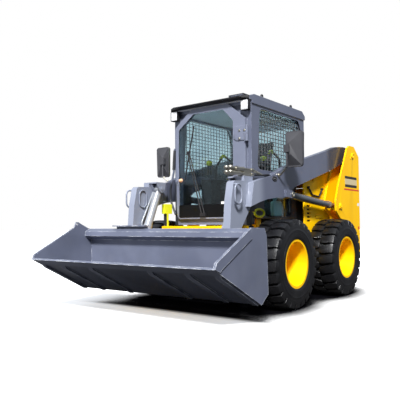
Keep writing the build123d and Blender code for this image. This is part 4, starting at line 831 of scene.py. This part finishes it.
def turned_part(bm, profile, centre, axis, steps=20):
    """Spins (along, radius) points round an axis through a centre, and adds them to a bmesh."""
    turn = Vector((0, 0, 1)).rotation_difference(Vector(axis).normalized()).to_matrix().to_4x4()
    spun = bmesh.new()
    verts = [spun.verts.new((radius, 0, along)) for along, radius in profile]
    edges = [spun.edges.new(pair) for pair in zip(verts, verts[1:])]
    bmesh.ops.spin(spun, geom=verts + edges, cent=(0, 0, 0), axis=(0, 0, 1),
                   angle=2 * math.pi, steps=steps, use_merge=True)
    bmesh.ops.remove_doubles(spun, verts=spun.verts, dist=0.00001)
    outward(spun)
    bmesh.ops.transform(spun, matrix=Matrix.Translation(centre) @ turn, verts=spun.verts)
    added(bm, spun)


def rounded_path(points, corner):
    """The path with each inner corner replaced by a short curve."""
    path = [points[0]]
    for before, bend, after in zip(points, points[1:], points[2:]):
        back = (before - bend).normalized() * min(corner, (before - bend).length * 0.48)
        on = (after - bend).normalized() * min(corner, (after - bend).length * 0.48)
        for step in range(7):
            t = step / 6
            path.append((bend + back) * (1 - t) ** 2 + bend * 2 * t * (1 - t)
                        + (bend + on) * t ** 2)
    return path + [points[-1]]


def bent_rod(bm, points, radius, corner=0.03, sides=12, closed=False):
    """A round section swept along a path."""
    points = [Vector(point) for point in points]
    if closed:
        points = points + points[:2]
    path = rounded_path(points, corner)
    if closed:
        path = path[1:-1]
    side = (path[1] - path[0]).orthogonal().normalized()
    rings = []
    for index, point in enumerate(path):
        ahead = path[(index + 1) % len(path)] if closed else path[min(index + 1, len(path) - 1)]
        behind = path[index - 1] if closed or index else path[0]
        along = (ahead - behind).normalized()
        side = (side - along * side.dot(along)).normalized()
        up = along.cross(side)
        rings.append([bm.verts.new(point + (side * math.cos(a) + up * math.sin(a)) * radius)
                      for a in (2 * math.pi * step / sides for step in range(sides))])
    for low, high in zip(rings, rings[1:]):
        for step in range(sides):
            after = (step + 1) % sides
            bm.faces.new((low[step], low[after], high[after], high[step]))
    bm.faces.new(rings[0][::-1])
    bm.faces.new(rings[-1])


def oval_rod(bm, centre, across, up, radius, corner, count):
    """A rod bent to a closed oval that faces sideways."""
    turns = [2 * math.pi * step / count for step in range(count)]
    bent_rod(bm, [centre + Vector((0, math.cos(turn) * across, math.sin(turn) * up))
                  for turn in turns], radius, corner=corner, closed=True)


def touch(node, start, toward):
    """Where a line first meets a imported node."""
    mesh = nodes[node].data
    tree = BVHTree.FromPolygons([vert.co for vert in mesh.vertices],
                                [tuple(polygon.vertices) for polygon in mesh.polygons])
    where = tree.ray_cast(Vector(start), Vector(toward))[0]
    if where is None:
        raise ValueError("no surface of " + node + " on that line")
    return where


def bolt(bm, centre, axis, radius=0.011):
    """A pressed bolt head on its washer, seated a little into the plate."""
    turned_part(bm, [(-0.002, 0.0), (-0.002, radius * 1.5), (0.002, radius * 1.5),
                     (0.0026, radius * 1.4), (0.0026, radius), (0.008, radius),
                     (0.0092, radius * 0.85), (0.0095, 0.0)], centre, axis, 12)


# %% [markdown]
# ## Signs and pins of the lift towers
# The left tower carries a blank plate between two dark bands with a warm stripe
# below it, a small pale label and a red reflector. The arms turn on big pins in
# both towers, held by a cap and two bolts.

# %% Finishes for the small things
plate_dark = moulded("plate_dark", (38, 34, 30), (44, 40, 34), 0.35, 300.0, 0.0001)
plate_pale = moulded("plate_pale", (206, 190, 150), (198, 182, 142), 0.35, 300.0, 0.0001)
stripe_red = moulded("stripe_red", (214, 74, 36), (206, 68, 32), 0.35, 300.0, 0.0001)
label_white = moulded("label_white", (232, 230, 226), (224, 222, 218), 0.4, 300.0, 0.0001)
bottle_teal = moulded("bottle_teal", (118, 176, 184), (130, 186, 192), 0.3, 30.0, 0.0004)
amber_lens = moulded("amber_lens", (238, 176, 130), (246, 190, 146), 0.15, 60.0, 0.0002)
knob_lime = moulded("knob_lime", (222, 226, 40), (206, 212, 34), 0.35, 120.0, 0.0002)
repaint("front_step", knob_lime, lambda middle, facing: middle.z > 0.845)
print("small finishes made, materials:", len(bpy.data.materials))

# %% Tower signs
SIGNS = [
    # name, finish, slot, ends rearward from the axle, heights, corner radius
    ("plate_band_top", plate_dark, "black_plastic", (1.552, 1.918), (1.300, 1.330), 0.004),
    ("plate_field", plate_pale, "lamp_shell", (1.552, 1.918), (1.232, 1.298), 0.004),
    ("plate_band_low", plate_dark, "black_plastic", (1.552, 1.918), (1.200, 1.230), 0.004),
    ("stripe", stripe_red, "yellow_paint", (1.521, 1.980), (1.164, 1.182), 0.002),
    ("pale_label", label_white, "lamp_shell", (1.925, 1.985), (0.985, 1.020), 0.003),
    ("reflector", stripe_red, "lamp_shell", (1.930, 1.975), (0.700, 0.735), 0.004),
]
for label, finish, slot_name, (front, rear), (low, high), corner_radius in SIGNS:
    middle = place(2.0, (front + rear) / 2, (low + high) / 2)
    start = place(touch("tower_left", middle, (-1, 0, 0)).x - 0.0004, front, low)
    built(label, "chassis", finish, slot_name, (
        rounded_plate, start, place(start.x, rear, high), corner_radius, 0.0012, 0))
print("signs:", len(SIGNS))

# %% Pins and their bolts
lift_base = place(0, 1.400, 0.972)
for side, name in SIDES:
    tower, inward = "tower_" + name, (-side, 0, 0)
    bm = bmesh.new()
    for pin, size in ((joint_at["lift_arms_raise"], 0.030), (lift_base, 0.022)):
        seat = touch(tower, (side * 2.0, pin.y, pin.z), inward)
        turned_part(bm, [(-0.003, 0), (-0.003, size), (0.003, size), (0.005, size * 0.9),
                         (0.005, size * 0.45), (0.002, size * 0.4), (0.002, 0)],
                    seat, (side, 0, 0), 24)
        for turn in (0.6, 3.74):
            off = Vector((0, math.cos(turn), math.sin(turn))) * size * 1.9
            start = Vector((side * 2.0, seat.y, seat.z)) + off
            bolt(bm, touch(tower, start, inward), (side, 0, 0), 0.008)
    finish_piece("tower_pins_" + name, bm, "chassis", yellow_paint)
print("tower pins at", [round(v, 3) for v in joint_at["lift_arms_raise"]])

# %% [markdown]
# ## Door seal and kick plate
# The pane sits in a wide black rubber seal that follows its outline, with a black
# plate over the foot of the door where boots knock. Where that plate rises over the
# pane's lower edge, it is painted shade standing in for the dark cab floor behind the
# glass. The seal's outline is read from the pane itself, so both keep the same corners.


# %% Outline of a pane
def pane_outline(node, facing, above=0.0):
    """Corner points of the node's largest flat face that looks one way, above a height."""
    bm = merged_copy(node)
    faces = [face for face in bm.faces if face.normal.dot(Vector(facing)) > 0.99
             and face.calc_center_median().z > above]
    largest = max(faces, key=lambda face: face.calc_area())
    points = [vert.co.copy() for vert in largest.verts]
    bm.free()
    return points


def seal_ring(name, points, out, width, depth, body, material):
    """A band along the inside of an outline, raised towards one side."""
    bm = bmesh.new()
    face = bm.faces.new([bm.verts.new(point) for point in points])
    inset(bm, face, width)
    bmesh.ops.delete(bm, geom=[face], context="FACES_ONLY")
    pushed_out(bm, bm.faces[:], Vector(out) * depth)
    outward(bm)
    eased(bm, 0.002, sharper=1.2)
    finish_piece(name, bm, body, material)


SEAL_WIDTH, SEAL_RISE = 0.026, 0.012
# The part of the plate above the pane's lower edge is painted shade of the dark floor behind the
# glass.
KICK_AND_SHADE_RISE = 0.078                     # of the kick plate, above the pane's lower edge
door_outline = pane_outline("door_glass", FORWARD)
seal_ring("door_seal", door_outline, FORWARD, SEAL_WIDTH, SEAL_RISE, "cab_door", hose_rubber)
glass_low = min(point.z for point in door_outline)
door_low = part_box("door_frame")[0]
rail_front = touch("door_frame", (0, -3, (door_low.z + glass_low) / 2), (0, 1, 0)).y
pane_low, pane_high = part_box("door_glass")
built("door_kick_and_shade_plate", "cab_door", kick_and_shade_rubber, "black_plastic", (
    rounded_plate, (pane_low.x + 0.004, rail_front + 0.001, door_low.z + 0.014),
    (pane_high.x - 0.004, rail_front + 0.001, glass_low + KICK_AND_SHADE_RISE), 0.012, -0.003))
print("kick plate to", round(glass_low + KICK_AND_SHADE_RISE, 3), "m")

# %% Marker lamp, label and hinge bolts of the door
marker = Vector((pane_low.x + 0.030, pane_low.y - 0.010, 1.231))
built("marker_lamp", "cab_door", amber_lens, "lamp_shell", (
    turned_part, [(-0.002, 0), (-0.002, 0.020), (0.006, 0.020), (0.008, 0.018), (0.018, 0.016),
                  (0.026, 0.010), (0.029, 0)], marker, FORWARD))
built("door_label", "cab_door", label_white, "lamp_shell", (
    rounded_plate, (0.132, pane_low.y - 0.0004, 0.945), (0.184, pane_low.y - 0.0004, 0.998),
    0.005, -0.0006))
hinge_spots = [touch("door_frame", (x, -3, z), (0, 1, 0))
               for x in (0.367, 0.423) for z in (1.592, 1.668)]
built("hinge_bolts", "cab_door", zinc_fitting, None,
      *[(bolt, spot, FORWARD, 0.008) for spot in hinge_spots])
print("hinge bolts:", len(hinge_spots))

# %% [markdown]
# ## Grip and lifting eyes
# The handrail has a soft grip where the driver climbs in, so a short rod a little
# thicker than the rail is bent along it. The roof is lifted by four eyes: each is
# a closed ring of round rod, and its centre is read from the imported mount.

# %% Handrail grip
built("handrail_grip", "cab", dark_steel, None, (
    bent_rod, [place(-0.4605, -0.1205, 1.555), place(-0.4700, -0.1205, 1.460),
               place(-0.4765, -0.1205, 1.350)], 0.0150, 0.05))

# %% Lifting eyes
EYE_RADIUS, EYE_ROD = 0.0195, 0.0048
eyes = [mount for mount in frame["record"]["mounts"] if mount["name"].startswith("lifting_eye")]
for number, mount in enumerate(eyes):
    middle = Vector(mount["pos_m"]) - Vector((0, 0, 0.0035))
    built("eye_ring_%d" % number, "cab", dark_steel, None, (
        oval_rod, middle, EYE_RADIUS, EYE_RADIUS, EYE_ROD, 0.004, 16))
print("eye rings:", len(eyes))

# %% [markdown]
# ## Wire guards of the side windows
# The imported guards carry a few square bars. The real guard is a closer weave of
# thin round wire, welded into a flat rim, so each is drawn again from the outline
# of its window with upright wires in front and level wires behind.

# %% Side window guards
WIRE_PITCH = {1: 0.056, 2: 0.038}     # of the upright and of the level wires
WIRE_RADIUS = 0.0038
WIRE_LAYER = {1: 0.0060, 2: 0.0022}   # how far out each set of wires lies
RIM_WIDTH, RIM_DEPTH = 0.020, 0.016
SHORTEST_WIRE = 0.04


def crossings(outline, axis, value, other):
    """Where a straight line at one value crosses a closed outline."""
    found = []
    for first, second in zip(outline, outline[1:] + outline[:1]):
        a, b = first[axis] - value, second[axis] - value
        if (a < 0) != (b < 0):
            found.append(first[other] + (second[other] - first[other]) * a / (a - b))
    return (min(found), max(found)) if len(found) > 1 else None


guard_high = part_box("window_guards")[1]
for side, name in SIDES:
    outline = pane_outline("cab_glass", (side, 0, 0), above=1.3)
    bm = bmesh.new()
    for axis, other in ((1, 2), (2, 1)):
        low = min(point[axis] for point in outline)
        high = max(point[axis] for point in outline)
        for step in range(1, int((high - low) / WIRE_PITCH[axis]) + 1):
            value = low + step * WIRE_PITCH[axis]
            ends = crossings(outline, axis, value, other) if value < high else None
            if ends and ends[1] - ends[0] > SHORTEST_WIRE:
                line = []
                for end in (ends[0] + 0.004, ends[1] - 0.004):
                    point = [side * (guard_high.x - 0.0245 + WIRE_LAYER[axis]), 0.0, 0.0]
                    point[axis], point[other] = value, end
                    line.append(Vector(point))
                bent_rod(bm, line, WIRE_RADIUS, sides=6)
    finish_piece("wire_guard_" + name, bm, "cab", dark_steel, replaces=["window_guards"])
    rim_points = [Vector((side * (guard_high.x - 0.014), point.y, point.z)) for point in outline]
    seal_ring("guard_rim_" + name, rim_points, (side, 0, 0), RIM_WIDTH, RIM_DEPTH, "cab",
              hose_rubber)
print("guards drawn, rim corners:", len(outline))

# %% [markdown]
# ## Bottle, knobs and hose guide
# Under the arch of the left arm a teal washer bottle hangs on the cab's side in a
# small steel cradle. Lime knobs top the levers, and sleeves of the same colour
# cover the safety bar, so a driver finds them at a glance. An oval guide in that
# lime stands on the deck and keeps the hoses together.

# %% Washer bottle
BOTTLE_SIZE = Vector((0.052, 0.164, 0.152))
cab_face = touch("cab_side_left", place(2.0, 0.60, 1.22), (-1, 0, 0)).x
bottle_centre = place(cab_face + 0.029, 0.305, 0.925)
bm = bmesh.new()
bmesh.ops.create_cube(bm, size=1.0)
bmesh.ops.scale(bm, vec=BOTTLE_SIZE, verts=bm.verts)
rounded(bm, bm.edges[:], 0.018, segments=4)
bmesh.ops.translate(bm, verts=bm.verts, vec=bottle_centre)
turned_part(bm, [(0.0, 0.016), (0.022, 0.016), (0.024, 0.022), (0.046, 0.022), (0.050, 0.018),
                 (0.050, 0.0)], bottle_centre + Vector((0, -0.030, 0.072)), (0, 0, 1))
outward(bm)
finish_piece("washer_bottle", bm, "cab", bottle_teal)
print("bottle hangs at", [round(v, 3) for v in bottle_centre])
built("bottle_cradle", "cab", dark_steel, None, (
    rounded_plate, bottle_centre + Vector((-0.030, -0.086, -0.080)),
    bottle_centre + Vector((0.027, 0.086, -0.080)), 0.006, 0.004, 2), (
    rounded_plate, bottle_centre + Vector((-0.0285, -0.086, -0.079)),
    bottle_centre + Vector((-0.0285, 0.086, -0.055)), 0.004, 0.003, 0))

# %% Lever knobs and bar sleeves
KNOB = [(-0.034, 0.0), (-0.034, 0.016), (-0.020, 0.030), (0.0, 0.036), (0.020, 0.030),
        (0.032, 0.016), (0.036, 0.0)]
for side, name in SIDES:
    built("lever_knob_" + name, "cab", knob_lime, "yellow_paint",
          (turned_part, KNOB, place(side * 0.345, 0.333, 1.450), (0, 0, 1)),
          (bent_rod, [place(side * 0.306, 0.600, 1.540), place(side * 0.306, 0.545, 1.556),
                      place(side * 0.306, 0.500, 1.512)], 0.017))

# %% Hose guide
deck_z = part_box("main_frame")[1].z
built("hose_guide", "chassis", knob_lime, "yellow_paint", (
    oval_rod, place(0.500, -0.015, deck_z + 0.050), 0.086, 0.036, 0.011, 0.012, 20))
print("deck at", round(deck_z, 3), "m")

# %% [markdown]
# ## Couplers, tubes and pin caps
# Four couplers on the left arm wear zinc plated caps, and a line leads back from
# each onto the arm. Steel tubes run down the inner faces of the legs, straight
# except for one bend at each end, so a swept rod gives them. The arm's outer face
# has an oval bracket with two bolts, and a cap closes each lift pin.

# %% Coupler caps
COUPLER_CAP = [(0.0, 0.008), (0.002, 0.0185), (0.036, 0.0200), (0.046, 0.0185), (0.052, 0.0120),
               (0.054, 0.0)]
COUPLER_COLLAR = [(0.0, 0.0200), (0.004, 0.0215), (0.012, 0.0215), (0.016, 0.0200)]
low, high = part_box("aux_couplers")
couplers = [(row, column, x, z) for row, z in enumerate((high.z - 0.018, high.z - 0.058))
            for column, x in enumerate((low.x + 0.019, high.x - 0.019))]
for row, column, x, z in couplers:
    built("coupler_cap_%d%d" % (row, column), "lift_arms", zinc_fitting, None,
          (turned_part, COUPLER_CAP, (x, low.y + 0.050, z), FORWARD),
          (turned_part, COUPLER_COLLAR, (x, low.y + 0.130, z), FORWARD))
print("couplers capped:", len(couplers))

# %% Lines behind the couplers
for row, column, x, z in sorted(couplers, key=lambda coupler: coupler[1]):
    lane = 0.617 + 0.011 * column + 0.022 * row
    ridge = [touch("arm_left", (lane, y, 2.0), (0, 0, -1)) for y in (-0.440, -0.360)]
    built("coupler_line_%d%d" % (row, column), "lift_arms",
          zinc_fitting if row == 0 else hose_rubber, "zinc_fitting",
          (bent_rod, [(x, high.y - 0.006, z), (x, high.y + 0.040, z),
                      ridge[0] + Vector((0, 0, 0.020)), ridge[1] + Vector((0, 0, 0.010)),
                      ridge[1] + Vector((0, 0.035, -0.012))], 0.0075))

# %% Tubes down the inner faces of the legs
LEG_FACE = 0.5245                     # from the middle of the machine
LEG_BENDS = [(-0.622, 1.135), (-0.668, 1.100), (-0.836, 0.800), (-0.836, 0.770)]
for side, name in SIDES:
    built("leg_tube_" + name, "lift_arms", tilt_paint, "slate_paint",
          (bent_rod, [(side * LEG_FACE, y, z) for y, z in LEG_BENDS], 0.0098))

# %% Fittings on the arms' outer faces
arm_spot = touch("arm_left", (2.0, -0.289, 1.198), (-1, 0, 0))
built("arm_fitting_left", "lift_arms", dark_steel, None,
      (oval_rod, arm_spot + Vector((0.001, 0, 0)), 0.040, 0.020, 0.0050, 0.008, 16),
      *[(bolt, arm_spot + Vector((0, along, 0)), (1, 0, 0), 0.008) for along in (0.014, -0.014)])
PIN_CAP = [(-0.002, 0), (-0.002, 0.026), (0.004, 0.026), (0.006, 0.024), (0.006, 0.012),
           (0.003, 0.010), (0.003, 0)]
for side, name in SIDES:
    seat = touch("arm_" + name, (side * 2.0, 0.0205, 1.062), (-side, 0, 0))
    built("lift_pin_cap_" + name, "lift_arms", zinc_fitting, None,
          (turned_part, PIN_CAP, seat, (side, 0, 0), 24))
print("arm fitting at", [round(v, 3) for v in arm_spot])

# %% [markdown]
# ## Floor and light
# A sales picture has a white ground with a nearly black shadow held close under the
# hull. The sun stands high in front, a little to the machine's left, so the bucket's
# own shadow falls back under the wheels, and a softbox ahead on the other side fills
# the front faces. The floor shines white only where it is looked at: to all other
# light it is dark, which keeps the belly dark, and it blackens where something
# close covers the sky. The sky is cool and dims towards the horizon.


# %% Floor
def seen_straight(tree):
    """1 where the camera looks at a place, also through glass, and 0 for other light."""
    path = add_node(tree, "LightPath").outputs
    return maths(tree, "MAXIMUM", path["Is Camera Ray"], path["Is Transmission Ray"])


SHADOW_REACH = 0.9                    # how near a form has to be to blacken the floor
SHADOW_FRONT = (-0.94, -1.10)         # the shadow ends between these, ahead of the wheels
bm = bmesh.new()
bmesh.ops.create_grid(bm, x_segments=4, y_segments=4, size=60.0)
floor_mesh = bpy.data.meshes.new("studio_floor")
bm.to_mesh(floor_mesh)
bm.free()
floor = into_scene("studio_floor", floor_mesh)
pale_floor, tree, shader = start_material("pale_floor", 0.9, Specular_IOR_Level=0.0)
openness = add_node(tree, "AmbientOcclusion", {"Distance": SHADOW_REACH}, samples=16)
ahead = stepped(tree, split(tree, own_place(tree))["Y"], *SHADOW_FRONT)
open_ground = maths(tree, "MAXIMUM", stepped(tree, openness.outputs["AO"], 0.50, 0.84), ahead)
ground = blend_colours(tree, open_ground, (0.003, 0.003, 0.004, 1), (0.97, 0.97, 0.97, 1))
seen = seen_straight(tree)
tree.links.new(blend_colours(tree, seen, (0.05, 0.05, 0.05, 1), ground),
               shader.inputs["Base Color"])
shader.inputs["Emission Color"].default_value = (0.48, 0.48, 0.48, 1)
tree.links.new(maths(tree, "MULTIPLY", seen, open_ground), shader.inputs["Emission Strength"])
floor.data.materials.append(pale_floor)

# %% Sky
world = bpy.data.worlds.new("studio")
bpy.context.scene.world = world
world.use_nodes = True
tree = world.node_tree
background = tree.nodes["Background"]
heading = split(tree, add_node(tree, "TexCoord").outputs["Generated"])
height = add_node(tree, "MapRange", {
    "Value": heading["Z"], "From Min": -0.05, "From Max": 0.75})
sky = blend_colours(tree, height.outputs["Result"], (0.30, 0.32, 0.36, 1), (0.86, 0.94, 1.06, 1))
seen = seen_straight(tree)
tree.links.new(blend_colours(tree, seen, sky, (1, 1, 1, 1)), background.inputs["Color"])
level = add_node(tree, "MapRange", {"Value": seen, "To Min": 0.62, "To Max": 1.0})
tree.links.new(level.outputs["Result"], background.inputs["Strength"])


# %% Sun and softbox
def shining(name, kind, energy, toward):
    """A light whose back is turned towards a direction."""
    lamp = into_scene(name, bpy.data.lights.new(name, kind))
    lamp.data.energy = energy
    lamp.rotation_euler = toward.to_track_quat("Z", "Y").to_euler()
    return lamp


BOX_PLACE, BOX_AIM = Vector((-2.9, -5.4, 1.2)), Vector((0.1, -0.5, 1.1))
sun = shining("key_sun", "SUN", 7.0, Vector((0.62, -1.0, 1.05)))
sun.data.angle = math.radians(9)
softbox = shining("softbox", "AREA", 100.0, BOX_PLACE - BOX_AIM)
softbox.data.shape = "RECTANGLE"
softbox.data.size, softbox.data.size_y = 3.2, 1.8
softbox.location = BOX_PLACE
softbox.visible_glossy = False
softbox.visible_transmission = False
bpy.context.scene.view_settings.view_transform = "Standard"
